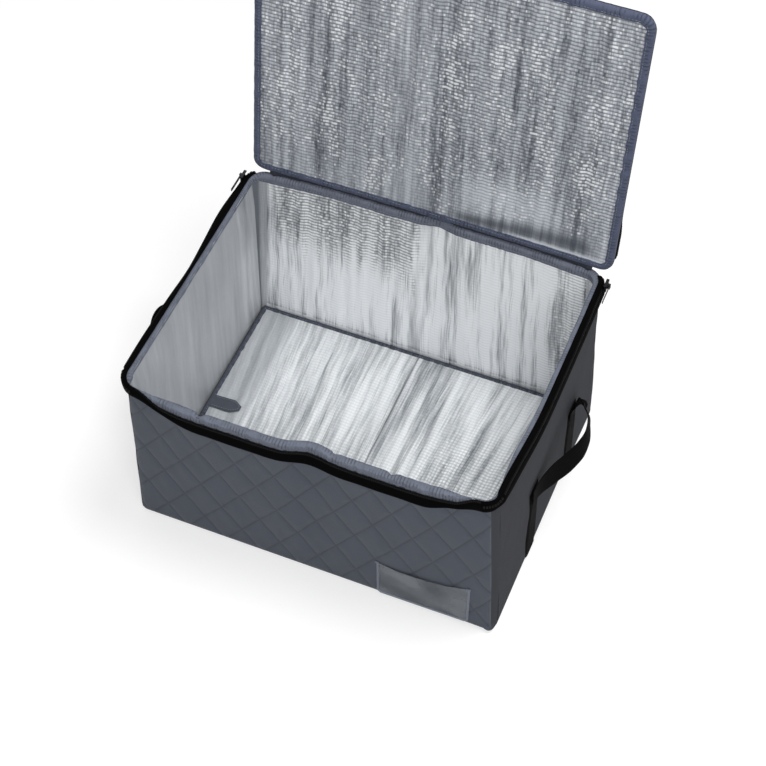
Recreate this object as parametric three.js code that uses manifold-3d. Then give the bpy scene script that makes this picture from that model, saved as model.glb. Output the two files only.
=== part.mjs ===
// Collapsible insulated storage box with a zipped lid, in millimetres.
// +X is the box's width towards the right end wall, -Y is the quilted front, +Z is up.
// The origin is the middle of the bottom, level with the surface that the box stands on.
// The lid stands open, leaning back a little, and every panel is drawn unfolded.
import * as THREE from 'three';
import { mergeVertices } from 'three/addons/utils/BufferGeometryUtils.js';
import Module from 'manifold-3d';

const wasm = await Module();
wasm.setup();

// Box
const WIDTH = 510;
const DEPTH = 400;
const HEIGHT = 284;
const WALL = 8;
const CORNER_R = 8;

// Layers of a padded panel
const SKIN = 1.2;
const FOIL = 0.7;
const LAYER_GAP = 0.3;
const FOLD_GAP = 0.3;
const CORNER_GAP = 0.6;
const CORE_LIFT = 1.5;

// Binding sewn over the rim and round the lid
const BINDING = 1.2;
const BINDING_REACH = 10;

// Zip tape and its teeth
const TAPE = 1.2;
const TAPE_REACH = 17.5;
const TEETH = 2.6;
const TEETH_BAND = 3;
const TAPE_TOP_DROP = 0.5;
const TAPE_WRAP_END = 6.5;

// Zip slider and its pull
const SLIDER_LENGTH = 14;
const SLIDER_PLATE = 1.2;
const SLIDER_LIP = 1.4;
const SLIDER_PLAY = 0.4;
const SLIDER_END_GAP = 2;
const LUG_REACH = 3.8;
const LUG_WIDTH = 4;
const LUG_THICK = 1.2;
const PULL_PIN_R = 0.7;
const PULL_EYE_R = 1.7;
const PULL_EYE_PLAY = 0.2;
const PULL_LENGTH = 30;
const PULL_WIDTH = 4.2;
const PULL_THICK = 1;

// Bottom cloth and the loose floor insert on it
const BASE_CLOTH = 3;
const INSERT_BINDING = 0.8;
const INSERT_BINDING_REACH = 8;
const INSERT_BOARD = 2.4;
const INSERT_FOIL = 0.6;
const INSERT_EDGE_GAP = 1;
const INSERT_CORNER_R = 4;

// Tab that lifts the insert's left half
const TAB_LENGTH = 44;
const TAB_WIDTH = 22;
const TAB_POINT = 12;
const TAB_TIP = 8;
const TAB_THICK = 1.2;

// Lid
const LID_LEAN_DEG = 8;
const LID_HINGE_INSET = 3;
const LID_HINGE_RISE = 1;
const LID_NEAR_R = 15;
const LID_PANEL = 8;
const LID_EDGE_START = 7;
const LID_FACE_GAP = 1.2;
const LID_TAPE_START = 23;
const LID_TAPE_REACH = 10.5;
const SEAM_FLANGE_START = -0.6;
const SEAM_FLANGE_END_GAP = 15;

// Webbing handles
const WEBBING_WIDTH = 25;
const WEBBING = 1.6;
const HANDLE_Y = 14;
const HANDLE_SPACING = 152;
const HANDLE_Z = 138;
const HANDLE_REACH = 45;
const HANDLE_DROOP_DEG = 20;
const HANDLE_FOLD = 20;
const STRAP_FOOT = 2;
const STRAP_ABOVE = 8;

// Clear label pocket on the front
const LABEL_WIDTH = 122;
const LABEL_HEIGHT = 72;
const LABEL_X = 160;
const LABEL_FOOT = 8;
const LABEL_FILM = 0.4;
const LABEL_WELT = 0.9;
const LABEL_WELT_WIDTH = 4;
const LABEL_GAP = 0.2;

// Places worked out from the sizes above
const HALF_W = WIDTH / 2;
const HALF_D = DEPTH / 2;
const INNER_W = HALF_W - WALL;
const INNER_D = HALF_D - WALL;
const SIDE_END = INNER_D - CORNER_GAP;
const PANEL_TOP = HEIGHT - BINDING - LAYER_GAP;
const PROUD = BINDING + LAYER_GAP;
const TAPE_IN = PROUD + LAYER_GAP;
const TAPE_OUT = TAPE_IN + TAPE;
const TEETH_OUT = TAPE_OUT + TEETH;
const TAPE_TOP = HEIGHT - TAPE_TOP_DROP;
const OVERCUT = 1;

const LID_HINGE_Y = HALF_D - LID_HINGE_INSET;
const LID_HINGE_Z = HEIGHT + LID_HINGE_RISE;
const LID_END = LID_HINGE_Y + HALF_D;
const LID_FACE = -LID_FACE_GAP;
const LID_BACK = LID_FACE - LID_PANEL;

const INSERT_BOTTOM = BASE_CLOTH + LAYER_GAP;
const BOARD_BOTTOM = INSERT_BOTTOM + INSERT_BINDING + LAYER_GAP;
const INSERT_FOIL_BOTTOM = BOARD_BOTTOM + INSERT_BOARD + LAYER_GAP;
const INSERT_CAVITY_TOP = INSERT_FOIL_BOTTOM + INSERT_FOIL + LAYER_GAP;
const INSERT_TOP = INSERT_CAVITY_TOP + INSERT_BINDING;
const INSERT_RIGHT = INNER_W - CORNER_GAP - INSERT_EDGE_GAP;
const INSERT_HALF_D = SIDE_END - INSERT_EDGE_GAP;

const STRAP_X = HALF_W + LAYER_GAP;
const HANDLE_X = STRAP_X + WEBBING + LAYER_GAP + WEBBING / 2;
const SLIDER_Z = (TAPE_TOP + LID_HINGE_Z) / 2;
const SLIDER_HALF_MOUTH = TEETH_BAND + (LID_HINGE_Z - TAPE_TOP) / 2 + SLIDER_PLAY;
const SLIDER_Y = SIDE_END - SLIDER_END_GAP - SLIDER_LENGTH / 2;
const SLIDER_IN = HALF_W + TEETH_OUT + SLIDER_PLAY;
const SLIDER_OUT = SLIDER_IN + SLIDER_PLATE;
const PULL_X = SLIDER_OUT + LUG_REACH - PULL_PIN_R - LAYER_GAP * 2;

/** A matt or shiny surface in the photographed colour. */
function finish(color, roughness, metalness = 0) {
  return () => new THREE.MeshStandardMaterial({ color, roughness, metalness });
}

const slateCloth = finish(0x4a4e57, 0.85);
const bindingCloth = finish(0x666b78, 0.75);
const silverFoil = finish(0xc6c9cd, 0.35, 0.8);
const whiteFoam = finish(0xe9e9e4, 0.9);
const greyBoard = finish(0x8b8a86, 0.9);
const blackTape = finish(0x0d0d0e, 0.7);
const blackWebbing = finish(0x101011, 0.8);
const blackMetal = finish(0x1a1a1c, 0.4, 0.6);
const clearFilm = finish(0x9a9da3, 0.2);
const weltCloth = finish(0x7c818c, 0.7);

/**
 * A rectangle with its own radius at each corner.
 * r holds any of lr (x1, y0), ur (x1, y1), ul (x0, y1) and ll (x0, y0).
 */
function outline(x0, x1, y0, y1, r = {}) {
  const { lr = 0, ur = 0, ul = 0, ll = 0 } = r;
  const s = new THREE.Shape();
  s.moveTo(x0 + ll, y0);
  s.lineTo(x1 - lr, y0);
  if (lr) s.absarc(x1 - lr, y0 + lr, lr, -Math.PI / 2, 0);
  s.lineTo(x1, y1 - ur);
  if (ur) s.absarc(x1 - ur, y1 - ur, ur, 0, Math.PI / 2);
  s.lineTo(x0 + ul, y1);
  if (ul) s.absarc(x0 + ul, y1 - ul, ul, Math.PI / 2, Math.PI);
  s.lineTo(x0, y0 + ll);
  if (ll) s.absarc(x0 + ll, y0 + ll, ll, Math.PI, Math.PI * 1.5);
  return s;
}

/** A shape in the XY plane, raised from z0 to z1. */
function prism(shape, z0, z1, curveSegments = 6) {
  const options = { depth: z1 - z0, bevelEnabled: false, curveSegments };
  return new THREE.ExtrudeGeometry(shape, options).translate(0, 0, z0);
}

/** A plain block between two corners. */
function block(x0, x1, y0, y1, z0, z1) {
  const g = new THREE.BoxGeometry(x1 - x0, y1 - y0, z1 - z0);
  return g.translate((x0 + x1) / 2, (y0 + y1) / 2, (z0 + z1) / 2);
}

/** A closed geometry as a solid that can be joined and cut. */
function solid(geometry) {
  const g = geometry.clone();
  g.deleteAttribute('normal');
  g.deleteAttribute('uv');
  const merged = mergeVertices(g, 1e-4);
  const vertProperties = merged.attributes.position.array;
  const triVerts = new Uint32Array(merged.index.array);
  return new wasm.Manifold(new wasm.Mesh({ numProp: 3, vertProperties, triVerts }));
}

/** A solid as a three.js geometry. */
function geometryOf(made) {
  const mesh = made.getMesh();
  const g = new THREE.BufferGeometry();
  g.setAttribute('position', new THREE.BufferAttribute(mesh.vertProperties, 3));
  g.setIndex(new THREE.BufferAttribute(mesh.triVerts, 1));
  g.computeVertexNormals();
  return g;
}

/** The first geometry less the others. */
function cut(from, ...tools) {
  return geometryOf(tools.reduce((left, tool) => left.subtract(solid(tool)), solid(from)));
}

/** Several geometries as one. */
function join(...parts) {
  return geometryOf(parts.map(solid).reduce((sum, part) => sum.add(part)));
}

/** A geometry reflected in a plane through the origin, with its faces turned back outwards. */
function reflected(geometry, axis) {
  const g = geometry.index ? geometry.clone() : mergeVertices(geometry.clone());
  g.scale(axis === 'x' ? -1 : 1, axis === 'y' ? -1 : 1, 1);
  const order = g.index.array;
  for (let i = 0; i < order.length; i += 3) {
    [order[i + 1], order[i + 2]] = [order[i + 2], order[i + 1]];
  }
  g.computeVertexNormals();
  return g;
}

const box = new THREE.Group();

/** Adds one named piece, and its mirror image under a second name where there is one. */
function piece(parent, material, geometry, name, mirrorName, mirrorAxis = 'x') {
  const mesh = new THREE.Mesh(geometry, material());
  mesh.name = name;
  parent.add(mesh);
  if (mirrorName) {
    const twin = new THREE.Mesh(reflected(geometry, mirrorAxis), material());
    twin.name = mirrorName;
    parent.add(twin);
  }
}

/** The end walls: cloth outside, foam, foil inside, and the binding over the top edge. */
function buildEndWalls() {
  const plate = (x0, x1, z0, z1) => block(x0, x1, -SIDE_END, SIDE_END, z0, z1);
  piece(box, slateCloth, plate(HALF_W - SKIN, HALF_W, 0, PANEL_TOP), 'skin_right', 'skin_left');
  const coreX0 = INNER_W + FOIL + LAYER_GAP;
  const coreX1 = HALF_W - SKIN - LAYER_GAP;
  piece(box, whiteFoam, plate(coreX0, coreX1, CORE_LIFT, PANEL_TOP), 'core_right', 'core_left');
  piece(box, silverFoil, plate(INNER_W, INNER_W + FOIL, 0, PANEL_TOP), 'foil_right', 'foil_left');
  const rim = cut(
    plate(INNER_W - PROUD, HALF_W + PROUD, HEIGHT - BINDING_REACH, HEIGHT),
    block(INNER_W - LAYER_GAP, HALF_W + LAYER_GAP, -DEPTH, DEPTH, 0, HEIGHT - BINDING),
  );
  piece(box, bindingCloth, rim, 'rim_right', 'rim_left');
}

/** A front half from x0 to its rounded corner, swollen outwards by grow and inwards by inner. */
function frontHalf(x0, grow, inner, z0, z1) {
  const rounded = outline(x0, HALF_W + grow, -HALF_D - grow, 0, { lr: CORNER_R + grow });
  const behind = block(x0 - OVERCUT, WIDTH, -INNER_D + inner, OVERCUT, z0 - OVERCUT, z1 + OVERCUT);
  return cut(prism(rounded, z0, z1), behind);
}

/** Skin of a front half, which turns the box's corner. */
function frontSkin() {
  return cut(
    frontHalf(FOLD_GAP, 0, 0, 0, PANEL_TOP),
    frontHalf(-OVERCUT, -SKIN, OVERCUT, -OVERCUT, HEIGHT),
  );
}

/** Foam inside a front half. */
function frontCore() {
  return frontHalf(FOLD_GAP, -SKIN - LAYER_GAP, -FOIL - LAYER_GAP, CORE_LIFT, PANEL_TOP);
}

/** Foil face of a front half, up to the end wall. */
function frontFoil() {
  return block(FOLD_GAP, INNER_W - LAYER_GAP, -INNER_D - FOIL, -INNER_D, 0, PANEL_TOP);
}

/** Binding over a front half's top edge. Its inner leg stops where the end wall begins. */
function frontRim() {
  const legEnd = INNER_W - PROUD - LAYER_GAP;
  return cut(
    frontHalf(FOLD_GAP, PROUD, PROUD, HEIGHT - BINDING_REACH, HEIGHT),
    frontHalf(-OVERCUT, LAYER_GAP, LAYER_GAP, 0, HEIGHT - BINDING),
    block(legEnd, WIDTH, -INNER_D, 0, 0, HEIGHT + OVERCUT),
  );
}

/** The front and back walls, each in two halves that meet at the fold in the middle. */
function buildFrontAndBack() {
  const layers = [
    ['skin', slateCloth, frontSkin()],
    ['core', whiteFoam, frontCore()],
    ['foil', silverFoil, frontFoil()],
    ['rim', bindingCloth, frontRim()],
  ];
  for (const [layer, material, right] of layers) {
    piece(box, material, right, `${layer}_front_right`, `${layer}_front_left`);
    piece(box, material, reflected(right, 'y'), `${layer}_back_right`, `${layer}_back_left`);
  }
}

/** Zip tape with its row of teeth, round the front and along both ends. */
function buildBoxZip() {
  const teethBottom = TAPE_TOP - TEETH_BAND;
  const strip = (x0, x1, z0) => block(x0, x1, -SIDE_END, SIDE_END, z0, TAPE_TOP);
  const end = join(
    strip(HALF_W + TAPE_IN, HALF_W + TAPE_OUT, TAPE_TOP - TAPE_REACH),
    strip(HALF_W + TAPE_IN, HALF_W + TEETH_OUT, teethBottom),
  );
  piece(box, blackTape, end, 'zip_right', 'zip_left');
  const band = (grow, z0) =>
    cut(
      frontHalf(FOLD_GAP, grow, TAPE_WRAP_END - WALL, z0, TAPE_TOP),
      frontHalf(-OVERCUT, TAPE_IN, OVERCUT, 0, HEIGHT),
    );
  const front = join(band(TAPE_OUT, TAPE_TOP - TAPE_REACH), band(TEETH_OUT, teethBottom));
  piece(box, blackTape, front, 'zip_front_right', 'zip_front_left');
}

/** Channel that runs along both rows of teeth, with two lugs and the pin of its pull. */
function sliderBody() {
  const y0 = SLIDER_Y - SLIDER_LENGTH / 2;
  const y1 = SLIDER_Y + SLIDER_LENGTH / 2;
  const outerZ = SLIDER_HALF_MOUTH + SLIDER_LIP;
  const lipX = HALF_W + TAPE_OUT + SLIDER_PLAY;
  const channel = cut(
    block(lipX, SLIDER_OUT, y0, y1, SLIDER_Z - outerZ, SLIDER_Z + outerZ),
    block(0, SLIDER_IN, -DEPTH, DEPTH, SLIDER_Z - SLIDER_HALF_MOUTH, SLIDER_Z + SLIDER_HALF_MOUTH),
  );
  const lugZ = PULL_WIDTH / 2 + PULL_EYE_PLAY;
  const lug = (z0) =>
    block(
      SLIDER_OUT - LAYER_GAP, SLIDER_OUT + LUG_REACH, SLIDER_Y - LUG_WIDTH / 2, SLIDER_Y + LUG_WIDTH / 2,
      z0, z0 + LUG_THICK,
    );
  const pinLength = 2 * lugZ + LUG_THICK;
  const pin = new THREE.CylinderGeometry(PULL_PIN_R, PULL_PIN_R, pinLength, 16)
    .rotateX(Math.PI / 2)
    .translate(PULL_X, SLIDER_Y, SLIDER_Z);
  return join(channel, lug(SLIDER_Z + lugZ), lug(SLIDER_Z - lugZ - LUG_THICK), pin);
}

/** Pull: an eye round the slider's pin and a flat tongue. */
function sliderPull() {
  const z0 = SLIDER_Z - PULL_WIDTH / 2;
  const z1 = SLIDER_Z + PULL_WIDTH / 2;
  const tongue = block(
    PULL_X - PULL_THICK / 2, PULL_X + PULL_THICK / 2, SLIDER_Y - PULL_LENGTH, SLIDER_Y, z0, z1,
  );
  const drum = (radius, length) =>
    new THREE.CylinderGeometry(radius, radius, length, 24)
      .rotateX(Math.PI / 2)
      .translate(PULL_X, SLIDER_Y, SLIDER_Z);
  return cut(join(tongue, drum(PULL_EYE_R, PULL_WIDTH)), drum(PULL_PIN_R + PULL_EYE_PLAY, PULL_WIDTH * 2));
}

/** A slider and its pull, parked at the back of each end's zip. */
function buildSliders() {
  piece(box, blackMetal, sliderBody(), 'slider_right', 'slider_left');
  piece(box, blackMetal, sliderPull(), 'pull_right', 'pull_left');
}

/** Bottom cloth in two halves, and the insert's board, foil and binding on each. */
function buildFloor() {
  const cloth = block(FOLD_GAP, INNER_W - CORNER_GAP, -SIDE_END, SIDE_END, 0, BASE_CLOTH);
  piece(box, slateCloth, cloth, 'base_right', 'base_left');
  const pad = (x0, inset, r = {}) =>
    outline(x0, INSERT_RIGHT - inset, -INSERT_HALF_D + inset, INSERT_HALF_D - inset, r);
  const layerInset = INSERT_BINDING + LAYER_GAP;
  const boardTop = BOARD_BOTTOM + INSERT_BOARD;
  const board = prism(pad(FOLD_GAP, layerInset), BOARD_BOTTOM, boardTop);
  piece(box, greyBoard, board, 'insert_board_right', 'insert_board_left');
  const foilTop = INSERT_FOIL_BOTTOM + INSERT_FOIL;
  const foil = prism(pad(FOLD_GAP, layerInset), INSERT_FOIL_BOTTOM, foilTop);
  piece(box, silverFoil, foil, 'insert_foil_right', 'insert_foil_left');
  const rounded = { lr: INSERT_CORNER_R, ur: INSERT_CORNER_R };
  const binding = cut(
    prism(pad(FOLD_GAP, 0, rounded), INSERT_BOTTOM, INSERT_TOP),
    prism(pad(-OVERCUT, INSERT_BINDING), INSERT_BOTTOM + INSERT_BINDING, INSERT_CAVITY_TOP),
    prism(pad(-OVERCUT, INSERT_BINDING_REACH), 0, INSERT_TOP + OVERCUT),
  );
  piece(box, bindingCloth, binding, 'insert_binding_right', 'insert_binding_left');
}

/** Cloth tab with a pointed end, sewn to the insert's left edge. */
function buildPullTab() {
  const x0 = -INSERT_RIGHT + INSERT_BINDING_REACH + LAYER_GAP;
  const shape = new THREE.Shape();
  shape.moveTo(x0, -TAB_WIDTH / 2);
  shape.lineTo(x0 + TAB_LENGTH - TAB_POINT, -TAB_WIDTH / 2);
  shape.lineTo(x0 + TAB_LENGTH, -TAB_TIP / 2);
  shape.lineTo(x0 + TAB_LENGTH, TAB_TIP / 2);
  shape.lineTo(x0 + TAB_LENGTH - TAB_POINT, TAB_WIDTH / 2);
  shape.lineTo(x0, TAB_WIDTH / 2);
  const z0 = INSERT_FOIL_BOTTOM + INSERT_FOIL + LAYER_GAP;
  piece(box, slateCloth, prism(shape, z0, z0 + TAB_THICK), 'pull_tab');
}

/** Group in the lid's own plane: Y runs from the hinge to the free edge, and +Z is the foil side. */
function lidFrame() {
  const frame = new THREE.Group();
  frame.position.set(0, LID_HINGE_Y, LID_HINGE_Z);
  frame.rotation.x = THREE.MathUtils.degToRad(90 - LID_LEAN_DEG);
  box.add(frame);
  return frame;
}

/** Outline of a lid half in its own plane, swollen outwards by grow. */
function lidOutline(x0, grow, start = LID_EDGE_START - grow, near = LID_NEAR_R + grow) {
  const far = Math.max(CORNER_R + grow, FOLD_GAP);
  return outline(x0, HALF_W + grow, start, LID_END + grow, { lr: near, ur: far });
}

/** Binding round a lid half, with the flange that is sewn to the back rim and bends as the hinge. */
function lidBinding() {
  const windowInset = BINDING_REACH - PROUD;
  const channel = cut(
    prism(lidOutline(FOLD_GAP, PROUD), LID_BACK - PROUD, LID_FACE + PROUD),
    prism(lidOutline(-OVERCUT, LAYER_GAP), LID_BACK - LAYER_GAP, LID_FACE + LAYER_GAP),
    prism(lidOutline(-OVERCUT, -windowInset), LID_BACK - DEPTH, LID_FACE + DEPTH),
  );
  const flangeEnd = LID_EDGE_START - PROUD + BINDING / 2;
  const flange = block(
    FOLD_GAP, HALF_W - SEAM_FLANGE_END_GAP, SEAM_FLANGE_START, flangeEnd, -BINDING / 2, BINDING / 2,
  );
  return join(channel, flange);
}

/** The lid: cloth, foam, foil, the binding round it and its zip tape. */
function buildLid() {
  const lid = lidFrame();
  const layer = (t0, t1, inset) => prism(lidOutline(FOLD_GAP, -inset), t0, t1);
  piece(lid, slateCloth, layer(LID_BACK, LID_BACK + SKIN, 0), 'lid_skin_right', 'lid_skin_left');
  const foilBack = LID_FACE - FOIL;
  const core = layer(LID_BACK + SKIN + LAYER_GAP, foilBack - LAYER_GAP, 0);
  piece(lid, whiteFoam, core, 'lid_core_right', 'lid_core_left');
  piece(lid, silverFoil, layer(foilBack, LID_FACE, 0), 'lid_foil_right', 'lid_foil_left');
  piece(lid, bindingCloth, lidBinding(), 'lid_binding_right', 'lid_binding_left');
  const tapeFace = LID_FACE + PROUD - LAYER_GAP;
  const band = (grow, reach) =>
    cut(
      prism(lidOutline(FOLD_GAP, grow, LID_TAPE_START, 0), tapeFace - reach, tapeFace),
      prism(lidOutline(-OVERCUT, TAPE_IN, LID_TAPE_START - OVERCUT, 0), -DEPTH, DEPTH),
    );
  const tape = join(band(TAPE_OUT, LID_TAPE_REACH), band(TEETH_OUT, TEETH_BAND));
  piece(lid, blackTape, tape, 'lid_zip_right', 'lid_zip_left');
}

/** Webbing strap sewn flat to the right end wall, on the front (-1) or rear (1) side of the handle. */
function strap(side) {
  const y0 = HANDLE_Y + (side * HANDLE_SPACING - WEBBING_WIDTH) / 2;
  return block(STRAP_X, STRAP_X + WEBBING, y0, y0 + WEBBING_WIDTH, STRAP_FOOT, HANDLE_Z + STRAP_ABOVE);
}

/** Hand loop: the webbing folded at two corners into a flat bow, with round ends where it swings. */
function handLoop() {
  const outer = (HANDLE_SPACING + WEBBING_WIDTH) / 2;
  const inner = (HANDLE_SPACING - WEBBING_WIDTH) / 2;
  const bow = new THREE.Shape();
  bow.moveTo(-outer, 0);
  bow.lineTo(-inner, 0);
  bow.lineTo(-inner, HANDLE_REACH - WEBBING_WIDTH);
  bow.lineTo(inner, HANDLE_REACH - WEBBING_WIDTH);
  bow.lineTo(inner, 0);
  bow.lineTo(outer, 0);
  bow.lineTo(outer, HANDLE_REACH - HANDLE_FOLD);
  bow.lineTo(outer - HANDLE_FOLD, HANDLE_REACH);
  bow.lineTo(-outer + HANDLE_FOLD, HANDLE_REACH);
  bow.lineTo(-outer, HANDLE_REACH - HANDLE_FOLD);
  const roundEnd = (side) =>
    new THREE.CylinderGeometry(WEBBING / 2, WEBBING / 2, WEBBING_WIDTH, 12)
      .rotateZ(Math.PI / 2)
      .translate((side * HANDLE_SPACING) / 2, 0, 0);
  const flat = join(prism(bow, -WEBBING / 2, WEBBING / 2), roundEnd(-1), roundEnd(1));
  const droop = THREE.MathUtils.degToRad(HANDLE_DROOP_DEG);
  const along = new THREE.Vector3(0, 1, 0);
  const out = new THREE.Vector3(Math.cos(droop), 0, -Math.sin(droop));
  const turn = new THREE.Matrix4().makeBasis(along, out, new THREE.Vector3().crossVectors(along, out));
  return flat.applyMatrix4(turn).translate(HANDLE_X, HANDLE_Y, HANDLE_Z);
}

/** A handle on each end wall: two sewn straps and the loop between their tops. */
function buildHandles() {
  piece(box, blackWebbing, strap(-1), 'strap_front_right', 'strap_front_left');
  piece(box, blackWebbing, strap(1), 'strap_rear_right', 'strap_rear_left');
  piece(box, blackWebbing, handLoop(), 'handle_right', 'handle_left');
}

/** Clear film pocket, open at the top, and the welt that sews it down on three sides. */
function buildLabelPocket() {
  const x0 = LABEL_X - LABEL_WIDTH / 2;
  const x1 = LABEL_X + LABEL_WIDTH / 2;
  const top = LABEL_FOOT + LABEL_HEIGHT;
  const filmBack = -HALF_D - LAYER_GAP - LABEL_GAP;
  const filmFront = filmBack - LABEL_FILM;
  piece(box, clearFilm, block(x0, x1, filmFront, filmBack, LABEL_FOOT, top), 'label_film');
  const weltBack = filmFront - LABEL_GAP;
  const welt = cut(
    block(x0, x1, weltBack - LABEL_WELT, weltBack, LABEL_FOOT, top),
    block(
      x0 + LABEL_WELT_WIDTH, x1 - LABEL_WELT_WIDTH, -DEPTH, 0, LABEL_FOOT + LABEL_WELT_WIDTH, top + OVERCUT,
    ),
  );
  piece(box, weltCloth, welt, 'label_welt');
}

buildEndWalls();
buildFrontAndBack();
buildBoxZip();
buildSliders();
buildFloor();
buildPullTab();
buildLid();
buildHandles();
buildLabelPocket();

export default box;
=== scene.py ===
"""Collapsible insulated box with a zipped lid: cloth, foil, binding, webbing and studio."""
import logging
import math
from dataclasses import dataclass, field
from enum import Enum

import bpy
import numpy as np
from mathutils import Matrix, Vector

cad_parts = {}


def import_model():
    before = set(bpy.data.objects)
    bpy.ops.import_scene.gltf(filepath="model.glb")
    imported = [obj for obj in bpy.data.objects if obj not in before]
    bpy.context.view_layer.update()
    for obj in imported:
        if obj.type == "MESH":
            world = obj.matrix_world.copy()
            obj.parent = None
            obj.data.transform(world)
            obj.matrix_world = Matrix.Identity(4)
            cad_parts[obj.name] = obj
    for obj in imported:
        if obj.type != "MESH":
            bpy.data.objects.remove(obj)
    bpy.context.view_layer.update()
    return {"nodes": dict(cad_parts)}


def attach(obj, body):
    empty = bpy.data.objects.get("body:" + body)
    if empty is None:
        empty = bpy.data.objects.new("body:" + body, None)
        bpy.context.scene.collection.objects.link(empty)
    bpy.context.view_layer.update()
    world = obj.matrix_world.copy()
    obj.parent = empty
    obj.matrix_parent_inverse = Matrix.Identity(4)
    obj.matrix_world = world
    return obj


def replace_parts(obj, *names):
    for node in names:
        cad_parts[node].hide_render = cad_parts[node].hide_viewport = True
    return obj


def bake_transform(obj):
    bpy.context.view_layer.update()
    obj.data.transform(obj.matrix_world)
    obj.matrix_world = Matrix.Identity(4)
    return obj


LOG = logging.getLogger("cooler_box")
TAU = 2 * math.pi
UV_NAME = "metres"


def lerp(low: np.ndarray | float, high: np.ndarray | float, share: np.ndarray | float) -> np.ndarray:
    """Returns the value a share of the way from low to high."""
    return low + (high - low) * share


def smooth(value: np.ndarray | float, low: float, high: float) -> np.ndarray:
    """Returns 0 below low, 1 above high and an even turn between."""
    share = np.clip((value - low) / (high - low), 0, 1)
    return share * share * (3 - 2 * share)


def bell(value: np.ndarray | float, middle: float, width: float) -> np.ndarray:
    """Returns a bump of height 1 at middle that dies away over width."""
    return np.exp(-(((value - middle) / width) ** 2))


def window(value: np.ndarray, start: float, full: float, fade: float, end: float) -> np.ndarray:
    """Returns 1 from full to fade, 0 before start and after end, and even turns between."""
    return smooth(value, start, full) * (1 - smooth(value, fade, end))


def joined(*parts: np.ndarray | float) -> np.ndarray:
    """Returns arrays as the coordinates of points, spread to one shape."""
    return np.stack(np.broadcast_arrays(*parts), -1)


def distances(line: np.ndarray) -> np.ndarray:
    """Returns the distance along a line to each of its points."""
    return np.concatenate([[0], np.cumsum(np.linalg.norm(np.diff(line, axis=0), axis=1))])


def read_off(spots: np.ndarray | float, run: np.ndarray, line: np.ndarray) -> list[np.ndarray]:
    """Returns each column of a line, read at distances along it."""
    return [np.interp(spots, run, column) for column in line.T]


def inward(ends: tuple[np.ndarray, ...], inset: np.ndarray) -> tuple[np.ndarray, np.ndarray]:
    """Returns an outline's two coordinates, drawn in by insets.

    Args:
        ends: The outline's coordinates and its outward direction's, four rows.
        inset: Insets, points by places of the section.
    """
    a, b, out_a, out_b = (row[:, None] for row in ends)
    return a - out_a * inset, b - out_b * inset


class Ripples:
    """Smooth seeded unevenness of cloth, as a sum of waves."""

    def __init__(self, seed: int, across: float, along: float, count: int = 14) -> None:
        """Draws the waves.

        Args:
            seed: Number that the draw starts from.
            across: Usual wavelength in the first direction, in metres.
            along: Usual wavelength in the second direction, in metres.
            count: How many waves are added up.
        """
        draw = np.random.default_rng(seed)
        self.across = TAU / (across * draw.uniform(0.55, 1.9, count)) * draw.choice([-1, 1], count)
        self.along = TAU / (along * draw.uniform(0.55, 1.9, count))
        self.phase = draw.uniform(0, TAU, count)
        self.count = count

    def at(self, across: np.ndarray, along: np.ndarray) -> np.ndarray:
        """Returns the unevenness at places on the cloth.

        Args:
            across: First coordinate, in metres.
            along: Second coordinate, in metres.

        Returns:
            Values around zero, nearly all between -1 and 1.
        """
        total = np.zeros(np.broadcast(across, along).shape)
        for a, b, phase in zip(self.across, self.along, self.phase):
            total = total + np.sin(a * across + b * along + phase)
        return total / math.sqrt(self.count)


# Shader trees


@dataclass(frozen=True)
class Signal:
    """One number that varies over a surface, with arithmetic that adds Math nodes."""

    tree: "Graph"
    socket: bpy.types.NodeSocket

    def maths(self, operation: str, *values: "Signal | float") -> "Signal":
        """Returns the result of one Math node.

        Args:
            operation: The Math node's operation.
            values: Its inputs, in order.
        """
        made = self.tree.node("ShaderNodeMath", {"operation": operation}, dict(enumerate(values)))
        return Signal(self.tree, made.outputs[0])

    def __add__(self, other: "Signal | float") -> "Signal":
        """Returns the sum."""
        return self.maths("ADD", self, other)

    def __radd__(self, other: float) -> "Signal":
        """Returns the sum."""
        return self.maths("ADD", other, self)

    def __sub__(self, other: "Signal | float") -> "Signal":
        """Returns the difference."""
        return self.maths("SUBTRACT", self, other)

    def __rsub__(self, other: float) -> "Signal":
        """Returns the difference."""
        return self.maths("SUBTRACT", other, self)

    def __mul__(self, other: "Signal | float") -> "Signal":
        """Returns the product."""
        return self.maths("MULTIPLY", self, other)

    def __rmul__(self, other: float) -> "Signal":
        """Returns the product."""
        return self.maths("MULTIPLY", other, self)

    def __truediv__(self, other: "Signal | float") -> "Signal":
        """Returns the quotient."""
        return self.maths("DIVIDE", self, other)

    def wave(self, length: float) -> "Signal":
        """Returns a sine of this place with that wavelength."""
        return self.maths("SINE", self * (TAU / length))

    def nearest(self) -> "Signal":
        """Returns the distance to the nearest whole number."""
        return (self.maths("FRACT", self + 0.5) - 0.5).size()

    def least(self, other: "Signal | float") -> "Signal":
        """Returns the smaller value."""
        return self.maths("MINIMUM", self, other)

    def size(self) -> "Signal":
        """Returns the value without its sign."""
        return self.maths("ABSOLUTE", self)

    def step(self, low: float, high: float) -> "Signal":
        """Returns 0 below low, 1 above high and an even turn between."""
        settings = {"interpolation_type": "SMOOTHSTEP"}
        made = self.tree.node("ShaderNodeMapRange", settings, {0: self, 1: low, 2: high})
        return Signal(self.tree, made.outputs[0])


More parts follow.
